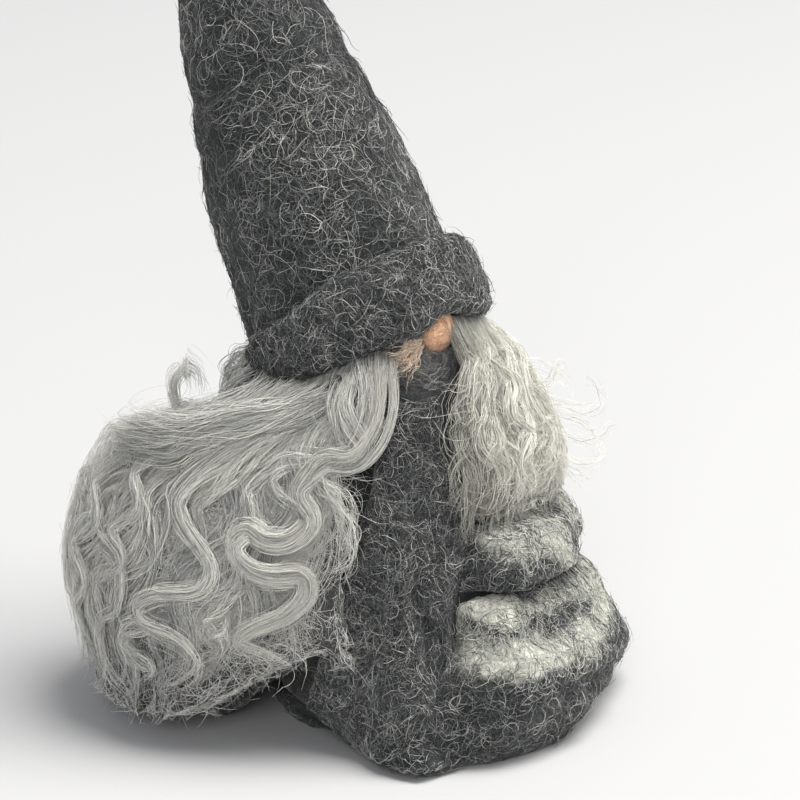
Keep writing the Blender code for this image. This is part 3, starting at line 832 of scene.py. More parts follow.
def spread(piece, edge, reach, amount):
    """Turns one side of a piece about the body's centre line, most at its upright edge."""
    points = vertex_array(piece.data)
    angle, height = polar(points)
    radius = np.hypot(points[:, 0], points[:, 1] - LEAN * height)
    share = smooth(reach, 0, angle - edge(height))
    set_vertices(piece.data, around(angle + amount(height) * share, height, radius))


def panel_bulge(height):
    """The front panel bulges towards the beard at half height."""
    return PANEL_BULGE * smooth(30 * MM, 4 * MM, np.abs(height - 66 * MM))


def hem_overlap(height):
    """The lower fold's dark hem runs on over the front panel."""
    return -HEM_OVERLAP * smooth(32 * MM, 16 * MM, height)


def bulged_edge(height):
    return panel_edge(height) + panel_bulge(height)


def robe():
    """Shell, front panel and the two blotched folds, dented and drawn to their places, then fibres."""
    shell = robe_piece("robe_felt", "robe_shell", felt_charcoal)
    felted(shell, 31, 1.0 * MM, 16 * MM)
    panel = robe_piece("robe_front_felt", "robe_front_panel", felt_charcoal, voxel=1.1 * MM)
    spread(panel, panel_edge, -55, panel_bulge)
    drawn_to(panel, 20 * MM, 3.0 * MM)
    feathered(panel, bulged_edge, 9, 2.4 * MM, 3.0 * MM)
    pushed(panel, PANEL_DENTS)
    felted(panel, 32, 0.8 * MM, 15 * MM)
    upper = robe_piece("upper_fold_felt", "side_fold_upper", felt_blotched)
    lower = robe_piece("lower_fold_felt", "side_fold_lower", felt_blotched)
    angle, _ = polar(vertex_array(lower.data))
    drawn_to(lower, 18 * MM, mix(1.5 * MM, 7 * MM, smooth(-5, 45, angle)), flare=1.6 * MM)
    drawn_to(lower, 26 * MM, 43 * MM)
    drawn_to(upper, 50 * MM, 45 * MM)
    for fold, dents in ((upper, UPPER_FOLD_DENTS), (lower, LOWER_FOLD_DENTS)):
        feathered(fold, panel_edge, 17, 7 * MM, 1.0 * MM)
        pushed(fold, dents)
    spread(lower, panel_edge, 45, hem_overlap)
    felted(upper, 33, 1.4 * MM, 14 * MM)
    felted(lower, 34, 1.5 * MM, 17 * MM)

    def pale_tint(spots):
        def tint(points, shade, rng):
            pale = pale_share(points, spots)
            chosen = rng.random(len(shade)) < pale * 1.1
            return np.where(chosen, 0.86 + 0.14 * rng.random(len(shade)), shade * (1 - 0.1 * pale))
        return tint

    def uncovered(points, normals):
        """More fibres where no fleece or panel hides the robe."""
        angle, height = polar(points)
        bare = (height < 45 * MM) | (np.abs(angle + 55) < 15)
        return seen_outside(points, normals) * np.where(bare, 1.0, 0.15)

    felt_fibres("robe_fibres", shell, 4000, riding("figure"), 201, keep=uncovered)
    felt_fibres("robe_front_fibres", panel, 7000, riding("figure"), 202, keep=seen_outside,
                lift=0.7 * MM, comb=UPRIGHT, comb_strength=0.4)
    for fold, spots, count in ((upper, UPPER_PALE_SPOTS, 5000), (lower, LOWER_PALE_SPOTS, 7600)):
        mark_pale(fold, spots)
        felt_fibres(f"{fold.name}_fibres", fold, count, riding("figure"),
                    count, keep=seen_outside, tint=pale_tint(spots), length=(5 * MM, 13 * MM),
                    thick=0.085 * MM, comb=np.array((1.0, 0.5, 0)), comb_strength=0.4)


# --- Fleece ----------------------------------------------------------------------------------------

def guide_frame(guide):
    """Side and outward direction along a guide (k, 3)."""
    tangent = unit(np.gradient(guide, axis=0))
    angle, _ = polar(guide)
    side = unit(np.cross(tangent, outward(angle)))
    return side, unit(np.cross(side, tangent))


def bundle(guide, count, rng, width, depth, rings, swell=(0.7, 1.0, 0.35), ends=(0.72, 1.0),
           ripple=0.35 * MM, stray=0.1, clumps=7, weave=0.16):
    """Strands that follow a guide side by side, in a few clumps that weave, as one flattened lock."""
    share = np.linspace(0, 1, len(guide))
    side, out = guide_frame(guide)
    start = rng.uniform(0, 0.04, (count, 1))
    end = rng.uniform(*ends, (count, 1))
    t = start + (end - start) * np.linspace(0, 1, rings)

    def at(values):
        return np.stack([np.interp(t, share, values[:, axis]) for axis in range(3)], axis=-1)

    spread = np.interp(t, (0, 0.35, 1), swell)
    clump = rng.integers(0, clumps, count)
    centres = rng.permutation(np.linspace(-0.9, 0.9, clumps))
    sideways = (centres[clump] + rng.normal(0, 0.8 / clumps, count))[:, None]
    deep = (rng.uniform(-0.6, 0.6, clumps)[clump] + rng.normal(0, 0.35, count))[:, None]
    loose = 1 + (rng.random((count, 1)) < stray) * rng.uniform(0.3, 1.6, (count, 1)) * t
    shift = sideways * width * spread * loose
    rise = deep * depth * spread * loose
    phase = rng.uniform(0, 6.28, (4, count, 1))
    pace = rng.uniform(8, 30, (4, count, 1))
    drift = rng.uniform(0, 6.28, (2, clumps))[:, clump, None]
    shift = shift + ripple * (np.sin(pace[0] * t + phase[0]) + 0.6 * np.sin(pace[1] * t + phase[1]))
    shift = shift + weave * width * np.sin(12 * t + drift[0])
    rise = rise + ripple * np.sin(pace[2] * t + phase[2]) + weave * depth * np.sin(9 * t + drift[1])
    return at(guide) + at(side) * shift[..., None] + at(out) * rise[..., None]


def under_brim(angle, radius):
    """Place inside the hat's lip, just above the plane of the brim."""
    flat = around(angle, BRIM[2], radius)
    drop = HAT_AXIS[1] / HAT_AXIS[2] * (flat[1] - BRIM[1])
    return around(angle, BRIM[2] - drop + 2 * MM, radius)


def meander(drape, root, tip, waves, amplitude, depth, phase, rings=60, rooted=0.2, ramp=0.35):
    """Guide of a wavy lock: from under the brim it runs over a drape from root to tip (angle, height)."""
    t = np.linspace(0, 1, rings)
    angle = mix(root[0], tip[0], 1 - (1 - t) ** 1.5)
    height = mix(root[1], tip[1], t ** 1.1)
    wave = np.sin(2 * math.pi * waves * t + phase) * smooth(0.02, ramp, t) * (1 - 0.2 * t)
    second = np.sin(4 * math.pi * waves * t + 2 * phase) * smooth(0.05, 0.4, t)
    radius = np.maximum(drape.sample(drape.outer, angle, height), 25 * MM)
    angle = angle + np.degrees(amplitude * wave / radius)
    height = height + 0.28 * amplitude * second
    layer = mix(depth[0], depth[1], smooth(0, 0.3, t))
    guide = drape.point(angle, height, layer)
    anchor = under_brim(root[0], 28 * MM)
    return mix(anchor, guide, smooth(-0.02, rooted, t)[:, None])


def fleece_base(name, node, body, material, shrink, seed):
    """The matted wool under a fleece's locks, a little thinner than its CAD solid."""
    base = solid_copy(name, node)
    remeshed(base, 1.6 * MM, 6)
    felted(base, seed, 0.9 * MM, 9 * MM, shrink=shrink)
    base.data.materials.append(material)
    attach(base, body)
    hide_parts(node)
    return base


def wander(place, seed):
    """A smooth random number from -1 to 1 for an angle in degrees."""
    return float(noise(np.array((place / 26.0, 0.37, 0.61)), 1.0, seed))


def fleece_locks(name, drape, body, slot, material, rng, count, angles, per_lock, strand, tips,
                 drift=(-18, 4), tint=(0.2, 0.8), depth=(0.55, 1.0), amplitude=(2.5 * MM, 6.0 * MM),
                 waves=(1.6, 3.0), width=(2.2 * MM, 5.0 * MM), rings=24, root_depth=0.25,
                 root_drop=(0, 3 * MM), order=0.5, ramp=0.35, rooted=0.2, front=180):
    """Wavy locks rooted under the brim.

    angles, amplitude, waves, width, drift, depth and tint are the two ends of a range, and tips(angle)
    gives the range of the tips' heights. order 1 makes neighbours wave together. No tip lies further to
    the front than the angle front.
    """
    count = int(count * LOCK_FULLNESS)
    per_lock = int(per_lock * LOCK_FULLNESS)
    paths, tints = [], []
    for number in range(count):
        angle = mix(*angles, (number + rng.random()) / count)
        top = drape.along_angle(drape.top, angle) - rng.uniform(*root_drop)
        tip_angle = min(angle + rng.uniform(*drift), front)
        tip_height = rng.uniform(*tips(tip_angle))
        surface = mix(depth[0], depth[1], rng.random() ** 0.7)
        phase = mix(rng.uniform(0, 6.28), 5 * wander(angle, 81) + 0.6 * rng.normal(), order)
        turns = mix(rng.uniform(*waves), mix(*waves, 0.5 + 0.5 * wander(angle, 82)), order)
        guide = meander(drape, (angle, top), (tip_angle, tip_height), turns, rng.uniform(*amplitude),
                        (root_depth * rng.random(), surface), phase, rooted=rooted, ramp=ramp)
        paths.append(bundle(guide, per_lock, rng, rng.uniform(*width), 1.3 * MM, rings, stray=0.25))
        # Locks lying deeper in the fleece get darker: painted shade.
        shade = mix(*tint, rng.random()) * (0.7 + 0.3 * surface)
        tints.append(shade + rng.normal(0, 0.18, per_lock))
    paths = np.concatenate(paths)
    tints = np.clip(np.concatenate(tints), 0.02, 0.95)
    radii = taper(rings, len(paths), rng, strand, thin=0.3)
    strand_pieces(name, paths, radii, tints[:, None], material, riding(body))


def fuzz(name, drape, body, slot, material, rng, count, angles, heights, tint, length=(14 * MM, 36 * MM),
         depth=(0.9, 1.03), rings=12, curl=0.3, thick=0.06 * MM, lift=0.4 * MM, stand=0.0):
    """Loose single hairs that wander over a fleece in every direction."""
    count = int(count * FULLNESS)
    angle = mix(*angles, rng.random(count))
    low, high = heights(angle)
    height = mix(low, high, rng.random(count))
    heading = rng.uniform(0, 2 * math.pi, count)
    turn = rng.normal(0, curl, count)
    step = rng.uniform(*length, count) / rings
    layer = rng.uniform(*depth, count)
    rise = stand + rng.normal(0, lift, count)
    paths = np.empty((count, rings, 3))
    lowest = drape.low + 1 * MM
    highest = drape.along_angle(drape.top, angle) - rng.uniform(0, 8 * MM, count)
    for ring in range(rings):
        paths[:, ring] = drape.point(angle, height, layer, rise)
        radius = np.maximum(drape.sample(drape.outer, angle, height), 10 * MM)
        angle = angle + np.degrees(step * np.cos(heading) / radius)
        height = height + step * np.sin(heading)
        outside = (height < lowest) | (height > highest)
        height = np.clip(height, lowest, highest)
        turn = 0.8 * turn + 0.6 * curl * rng.normal(size=count)
        heading = np.where(outside, -heading, heading + turn)
        rise = rise + rng.normal(0, 0.6 * lift, count)
    shade = np.clip(rng.uniform(*tint, count), 0.02, 0.97)
    strand_pieces(name, paths, taper(rings, count, rng, thick), shade[:, None], material, riding(body))


def placed_lock(name, drape, body, slot, material, points, rng, count, width, depth, tint, rings=50,
                thick=0.14 * MM, swell=(0.7, 1.0, 0.3), ends=(0.6, 1.0), stray=0.08, ripple=0.25 * MM,
                clumps=7, weave=0.2):
    """A lock drawn by a few points: angle, height in mm and lift in mm over the fleece."""
    count = int(count * LOCK_FULLNESS)
    control = curve_through(points, 160)
    guide = rounded(drape.point(control[:, 0], control[:, 1] * MM, 1.0, control[:, 2] * MM), 7)
    paths = bundle(guide, count, rng, width, depth, rings, swell=swell, ends=ends, ripple=ripple,
                   stray=stray, clumps=clumps, weave=weave)
    shade = tint + rng.normal(0, 0.12, (count, 1))
    # A random 28% of the strands are darker: partly random tone, partly painted shade in the gaps between
    # strands.
    shade = np.clip(np.where(rng.random((count, 1)) < 0.28, shade - 0.42, shade), 0.05, 0.97)
    radii = taper(rings, count, rng, thick, thin=0.25)
    strand_pieces(name, paths, radii, shade, material, riding(body))


SILVER_WOOL = {"slot": "silver_fleece", "material": silver}
BEIGE_WOOL = {"slot": "beige_fleece", "material": beige}
LOW_HAIRS = {"comb": UPRIGHT, "comb_strength": 0.5, "length": (10 * MM, 22 * MM), "lift": 1.6 * MM,
             "thick": 0.07 * MM, "free": 0.3}
RIGHT_ANGLES = (-60, -112)          # of the locks' roots, from the front to the shoulder
BACK_ANGLES = (-112, -214)


def right_fleece():
    """Underlayers, loose hairs and locks of the right and back fleece; returns what they drape on."""
    right = Drape("beard_right_fleece", "hair_back_fleece")
    # Both underlayers get near-black wool: painted shade between the locks that lie over them.
    beard_base, back_base = (
        fleece_base(f"{body}_underlayer", f"{body}_fleece", body, felt_painted_shade, shrink,
                    seed)
        for body, shrink, seed in (("beard_right", 3.2 * MM, 41), ("hair_back", 4.0 * MM, 42)))
    rng = np.random.default_rng(301)

    def below_top(angle, height):
        return right.along_angle(right.top, angle) - height

    def low_tips(angle):
        foot = right.along_angle(right.foot, angle)
        return np.maximum(foot - 2 * MM, 3 * MM), foot + 15 * MM

    def underside(points, normals):
        angle, height = polar(points)
        return smooth(26 * MM, 10 * MM, height - right.along_angle(right.foot, angle))

    def shoulder(points, normals):
        angle, height = polar(points)
        left_side = smooth(34 * MM, 16 * MM, below_top(angle, height)) * (angle > 0)
        return left_side + smooth(26 * MM, 12 * MM, below_top(angle, height)) * (angle < BACK_ANGLES[0] - 4)

    def span(angle):
        foot = right.along_angle(right.foot, angle) + 9 * MM
        top = right.along_angle(right.top, angle) - 9 * MM
        return np.maximum(foot, mix(34 * MM, 90 * MM, smooth(-82, -64, angle))), top

    def pale_grey(points, shade, rng):
        return 0.45 + 0.5 * shade

    for name, base, body, count, seed, keep in (
            ("beard_right_low_hairs", beard_base, "beard_right", 900, 311, underside),
            ("hair_back_low_hairs", back_base, "hair_back", 1300, 312, underside),
            ("hair_back_shoulder_hairs", back_base, "hair_back", 1500, 313, shoulder)):
        felt_fibres(name, base, count, riding(body), seed, keep=keep, tint=pale_grey,
                    material=silver, **LOW_HAIRS)
    wool = dict(drape=right, rng=rng, **SILVER_WOOL)
    fleece_locks("beard_right_locks", body="beard_right", count=66, angles=RIGHT_ANGLES, per_lock=42,
                 strand=0.098 * MM, tips=low_tips, drift=(-24, -4), order=0.8, depth=(0.6, 1.03), rings=22,
                 tint=(0.3, 0.85), front=-77, **wool)
    fleece_locks("hair_back_locks", body="hair_back", count=80, angles=BACK_ANGLES, per_lock=38,
                 strand=0.105 * MM, tips=low_tips, drift=(-10, 10), amplitude=(3 * MM, 7 * MM), order=0.8,
                 depth=(0.6, 1.03), rings=20, tint=(0.4, 0.95), **wool)
    fine = dict(heights=span, tint=(0.5, 1.0), thick=0.048 * MM, **wool)
    fuzz("beard_right_hairs", body="beard_right", count=2600, angles=(-70, RIGHT_ANGLES[1]),
         length=(8 * MM, 24 * MM), **fine)
    fuzz("hair_back_hairs", body="hair_back", count=2000, angles=BACK_ANGLES, **fine)
    return right


def right_locks(right):
    """The long curled locks that lie over the right fleece."""
    rng = np.random.default_rng(401)

    def lock(name, points, body="beard_right", **settings):
        looks = {"thick": 0.078 * MM, "stray": 0.5, "ripple": 0.6 * MM, **SILVER_WOOL, **settings}
        placed_lock(name, points=points, body=body, drape=right, rng=rng, **looks)

    main = [(-43, 111, -10), (-45, 106, -3), (-46, 99, 1), (-50, 91, 2), (-58, 84, 2), (-67, 84, 2),
            (-73, 79, 2), (-76, 74, 2), (-71, 68, 3), (-77, 62, 3), (-84, 62, 3), (-88, 65, 3), (-91, 60, 3),
            (-87, 54, 3), (-80, 52, 3), (-74, 53, 3), (-73, 48, 3), (-79, 42, 3), (-86, 39, 3), (-89, 35, 3),
            (-84, 32, 3), (-78, 29, 3)]
    lock("main_lock", main, body="beard_lock", count=380, width=3.0 * MM, depth=1.5 * MM, tint=0.86, rings=76,
         swell=(1.3, 0.8, 0.5), ends=(0.75, 1.0), stray=0.35, ripple=0.5 * MM, clumps=9, weave=0.34)
    second_root = [(-56, 109, -10), (-60, 104, -3), (-62, 98, 1), (-60, 92, 1.5), (-57, 87, 1.5),
                   (-61, 84, 1.5), (-70, 82, 1.5), (-80, 82, 1.5), (-85, 78, 1.5), (-82, 73, 1.5),
                   (-77, 70, 2), (-76, 66, 2)]
    lock("second_root_lock", second_root, count=150, width=3.0 * MM, depth=1.2 * MM, tint=0.78, stray=0.3,
         ripple=0.45 * MM, weave=0.3)
    between = [(-50, 110, -10), (-52, 105, -3), (-54, 99, 0.5), (-54, 92, 1), (-58, 86, 1.5), (-66, 82, 2),
               (-73, 77, 2)]
    lock("between_lock", between, count=150, width=3.8 * MM, depth=1.2 * MM, tint=0.72, stray=0.3,
         ripple=0.45 * MM, weave=0.3)
    outer = [(-70, 98, 0), (-84, 92, 1), (-95, 85, 1.5), (-102, 78, 2), (-105, 71, 2), (-103, 65, 2),
             (-98, 58, 2), (-96, 53, 2), (-98, 48, 2), (-106, 46, 2), (-110, 41, 2), (-108, 36, 2),
             (-102, 34, 2), (-98, 29, 2), (-100, 24, 2), (-105, 20, 2), (-109, 20, 2)]
    lock("outer_lock", outer, count=130, width=2.6 * MM, depth=1.2 * MM, tint=0.75, rings=64,
         swell=(1.2, 0.9, 0.9), weave=0.35)
    loop_feed = [(-90, 72, 1.5), (-94, 64, 1.5), (-92, 56, 1.5), (-92, 50, 1.5), (-97, 46, 1.5),
                 (-105, 45, 1.5), (-109, 40, 2)]
    lock("loop_feed_lock", loop_feed, count=80, width=2.6 * MM, depth=0.9 * MM, tint=0.7)
    highlight = [(-80, 93, 0.5), (-88, 87, 1.5), (-94, 80, 2), (-98, 74, 2), (-101, 69, 1.5), (-99, 62, 1)]
    lock("highlight_lock", highlight, count=110, width=2.8 * MM, depth=0.9 * MM, tint=0.85, stray=0.4,
         ripple=0.5 * MM)
    cream = [(-92, 44, 1), (-95, 40, 1.5), (-96, 35, 1.5), (-93, 31, 1)]
    lock("cream_lock", cream, count=90, width=4.5 * MM, depth=0.8 * MM, tint=0.88, rings=30, thick=0.07 * MM,
         swell=(0.6, 1.0, 0.9), stray=0.3, ripple=0.5 * MM)
    inner = [(-74, 80, 1.5), (-68, 76, 2.5), (-62, 71, 4), (-60, 64, 4), (-62, 57, 4), (-70, 52, 3)]
    lock("beard_right_strand_wool", inner, count=80, width=2.2 * MM, depth=0.7 * MM, tint=0.8,
         thick=0.075 * MM, weave=0.4)
    loose_tips = [(-84, 33, 3), (-79, 31, 3), (-76, 27, 3), (-77, 22, 3), (-81, 20, 3), (-82, 24, 3)]
    lock("loose_tip_lock", loose_tips, body="beard_lock", count=7, width=4.0 * MM, depth=2.0 * MM, tint=0.6,
         rings=30, thick=0.055 * MM, ends=(0.3, 0.9), stray=0.8, ripple=0.25 * MM)
    waves = (
        ((-76, 90, 0.5), (-82, 84, 1), (-91, 76, 1.5), (-90, 69, 1.5), (-84, 64, 1.5), (-80, 57, 1.5)),
        ((-112, 84, 1), (-117, 76, 2), (-114, 68, 2), (-118, 60, 2), (-114, 52, 2), (-119, 44, 2),
         (-114, 36, 2)),
        ((-122, 80, 1), (-127, 70, 2), (-123, 61, 2), (-128, 52, 2), (-123, 43, 2), (-127, 33, 2),
         (-122, 24, 2)),
        ((-104, 38, 1), (-112, 34, 2), (-113, 28, 2), (-107, 24, 2), (-110, 19, 2)),
        ((-86, 52, 1), (-93, 47, 1.5), (-97, 40, 1.5), (-93, 34, 1.5), (-97, 29, 1.5)),
    )
    for number, points in enumerate(waves, 1):
        body = "beard_right" if points[0][0] > BACK_ANGLES[0] else "hair_back"
        lock(f"wave_lock_{number}", points, body=body, count=80, width=2.6 * MM, depth=1.0 * MM, tint=0.74,
             rings=36, weave=0.35)
    flows = 7
    for number in range(flows):
        share = number / (flows - 1)
        flow = [(mix(-64, -84, share), 101, 0), (mix(-78, -96, share), 95 - 2 * share, 1.5),
                (mix(-94, -106, share), 91 - 3 * share, 2.5), (-108 - 3 * share, 88 - 4 * share, 3),
                (-119 - 4 * share, 87 - 5 * share, 3.5), (-126 - 4 * share, 89 - 7 * share, 4)]
        lock(f"top_flow_{number + 1}", flow, body="hair_back", count=80, width=3.8 * MM, depth=1.4 * MM,
             tint=0.58 + 0.14 * (number % 3), rings=34, thick=0.085 * MM, swell=(0.8, 1.0, 0.9),
             ends=(0.8, 1.0), stray=0.4, ripple=0.45 * MM)


def shoulder_locks(right):
    """Short locks that close the top of the fleece behind the right shoulder."""
    rng = np.random.default_rng(431)
    for number, angle in enumerate(range(-94, -136, -8), 1):
        points = [(angle, 105, -10), (angle - 2, 101, -4), (angle - 5, 96, 0.5), (angle - 9, 88, 2.5),
                  (angle - 7, 79, 2)]
        placed_lock(f"shoulder_lock_{number}", drape=right, body="hair_back", rng=rng, points=points,
                    count=70, width=5.0 * MM, depth=1.2 * MM, tint=0.62, rings=20, thick=0.085 * MM,
                    swell=(0.9, 1.0, 0.8), stray=0.4, ripple=0.5 * MM, **SILVER_WOOL)


def upright_curl():
    """The curl that stands up from the back fleece."""
    rng = np.random.default_rng(451)
    low, high = (np.array(corner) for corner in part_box("hair_upright_curl"))
    middle = (low + high) / 2
    half = (high - low) / 2
    turn = np.radians(np.linspace(-150, 200, 80))
    reach = 0.7 * half * np.cos(turn)[:, None]
    guide = np.stack((middle[0] - reach[:, 0], middle[1] + reach[:, 1],
                      middle[2] + 1.15 * half[2] * np.sin(turn)), axis=-1)
    count, rings = 110, 30
    paths = bundle(guide, count, rng, 2.2 * MM, 1.4 * MM, rings, swell=(1.8, 0.9, 1.6), stray=0.6)
    strand_pieces("upright_curl_wool", paths, taper(rings, count, rng, 0.055 * MM),
                  rng.uniform(0.4, 0.9, (count, 1)), silver, riding("hair_back"))


def replace_locks():
    """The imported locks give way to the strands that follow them."""
    for name, node in (("main_lock_1", "beard_right_lock"),
                       ("beard_right_strand_wool_1", "beard_right_strand"),
                       ("upright_curl_wool_1", "hair_upright_curl")):
        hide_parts(node)


def beard_left():
    left = Drape("beard_left_fleece")
    slimmer = 3.5 * MM * smooth(106 * MM, 84 * MM, left.heights)
    left.outer = np.maximum(left.outer - slimmer, left.inner + 2.5 * MM)
    base = fleece_base("beard_left_underlayer", "beard_left_fleece", "beard_left", felt_beige_base,
                       3.8 * MM, 43)
    pushed(base, ((50, 78, 90, 30, -3.5),))
    wool = dict(drape=left, body="beard_left", rng=np.random.default_rng(501), **BEIGE_WOOL)

    def tips(angle):
        return 56 * MM, 72 * MM

    def span(angle):
        return np.full_like(angle, 66 * MM), np.full_like(angle, 101 * MM)

    wavy = dict(strand=0.085 * MM, tips=tips, rooted=0.1, ramp=0.12, rings=22, root_drop=(-5 * MM, 0),
                **wool)
    fleece_locks("beard_left_locks", count=62, angles=(22, 98), per_lock=46, drift=(-24, 2), order=0.85,
                 amplitude=(4.0 * MM, 7.5 * MM), waves=(1.2, 1.9), tint=(0.6, 1.0),
                 width=(2.0 * MM, 4.5 * MM), depth=(0.25, 1.0), **wavy)
    # The front and inner locks, towards the hollow by the nose, get lower tints: painted shade on that side
    # of the beard.
    fleece_locks("beard_left_front_locks", count=22, angles=(6, 22), per_lock=46, drift=(-20, 4), order=0.85,
                 amplitude=(3.0 * MM, 5.5 * MM), waves=(1.2, 1.9), tint=(0.3, 0.85),
                 width=(2.0 * MM, 4.0 * MM), depth=(0.2, 0.95), **wavy)
    fleece_locks("beard_left_inner_locks", count=11, angles=(3, 13), per_lock=42, drift=(-32, -20),
                 order=0.6, amplitude=(1.5 * MM, 3.5 * MM), waves=(1.2, 2.0), tint=(0.05, 0.5),
                 depth=(0.1, 0.75), **wavy)
    fuzz("beard_left_hairs", count=1300, angles=(4, 98), heights=span, tint=(0.3, 1.0), thick=0.05 * MM,
         **wool)
    beard_left_placed(wool)


def beard_left_placed(wool):
    """The three locks that show in the left beard, and the wisps that stand off it."""
    outer = [(28, 108, -9), (26, 103, -3), (31, 97, -2), (27, 91, -1), (33, 85, 0), (30, 79, 0), (22, 74, 0),
             (25, 69, 1)]
    middle = [(16, 109, -9), (15, 104, -3), (19, 97, 0), (12, 90, 0), (17, 83, 0), (9, 77, 0), (12, 71, 0),
              (6, 66, 0)]
    inner = [(8, 108, -8), (7, 103, -2), (4, 97, 0), (-3, 90, 0), (-6, 83, 0), (0, 77, 0), (-6, 70, 0)]
    thick = dict(thick=0.1 * MM, ripple=0.4 * MM, **wool)
    placed_lock("beard_left_outer_lock", points=outer, count=120, width=3.4 * MM, depth=1.5 * MM, tint=0.9,
                stray=0.35, **thick)
    placed_lock("beard_left_middle_lock", points=middle, count=120, width=3.4 * MM, depth=1.3 * MM, tint=0.85,
                stray=0.3, **thick)
    # The inner lock's lower tint is painted shade towards the hollow.
    placed_lock("beard_left_inner_lock", points=inner, count=90, width=3.2 * MM, depth=1.2 * MM, tint=0.65,
                stray=0.3, **thick)
    wisps = (
        ((28, 90, 0), (32, 88, 5), (36, 85, 11), (40, 86, 16), (42, 90, 17), (40, 93, 16), (37, 91, 15)),
        ((26, 83, 0), (29, 79, 5), (32, 78, 10), (35, 81, 14), (38, 80, 16)),
        ((22, 78, 0), (26, 73, 5), (30, 72, 10), (33, 75, 12), (33, 79, 11)),
        ((26, 98, -1), (33, 99, 4), (38, 96, 8), (39, 91, 10), (35, 88, 9)),
        ((30, 87, 0), (35, 83, 6), (38, 79, 9), (36, 75, 9), (32, 74, 7)),
        ((28, 94, 0), (34, 93, 5), (39, 96, 9), (43, 95, 12), (43, 90, 12)),
        ((24, 74, 0), (29, 68, 3), (33, 66, 6), (34, 70, 8)),
    )
    for number, points in enumerate(wisps, 1):
        placed_lock(f"beard_left_wisp_{number}", points=points, count=14, width=1.6 * MM, depth=1.0 * MM,
                    tint=0.75, thick=0.055 * MM, swell=(0.8, 1.0, 1.3), ends=(0.5, 1.0), stray=0.5, rings=32,
                    **wool)


def hair_left():
    """The fleece behind the gnome's left shoulder."""
    left = Drape("hair_left_fleece")
    base = fleece_base("hair_left_underlayer", "hair_left_fleece", "hair_left", felt_beige_base,
                       2.0 * MM, 44)
    felt_fibres("hair_left_hairs", base, 1200, riding("hair_left"), 602, material=beige,
                comb=UPRIGHT, comb_strength=0.6, length=(10 * MM, 20 * MM), lift=1.6 * MM, thick=0.07 * MM,
                free=0.2)

    def tips(angle):
        return 50 * MM, 66 * MM

    fleece_locks("hair_left_locks", left, "hair_left", rng=np.random.default_rng(601), count=30,
                 angles=(100, 144), per_lock=40, strand=0.11 * MM, tips=tips, rings=18, drift=(-6, 6),
                 amplitude=(1.5 * MM, 3 * MM), waves=(1.0, 1.8), order=0.9, rooted=0.1, tint=(0.25, 0.85),
                 **BEIGE_WOOL)


# --- Face ------------------------------------------------------------------------------------------

def skinned(name, node, body, material, voxel, rounds, seed, lump, size, shrink, moved=(0, 0, 0)):
    """A CAD solid as a felted skin that takes its place."""
    skin = solid_copy(name, node)
    remeshed(skin, voxel, rounds)
    felted(skin, seed, lump, size, shrink=shrink)
    set_vertices(skin.data, vertex_array(skin.data) + np.array(moved))
    skin.data.materials.append(material)
    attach(skin, body)
    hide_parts(node)
    return skin


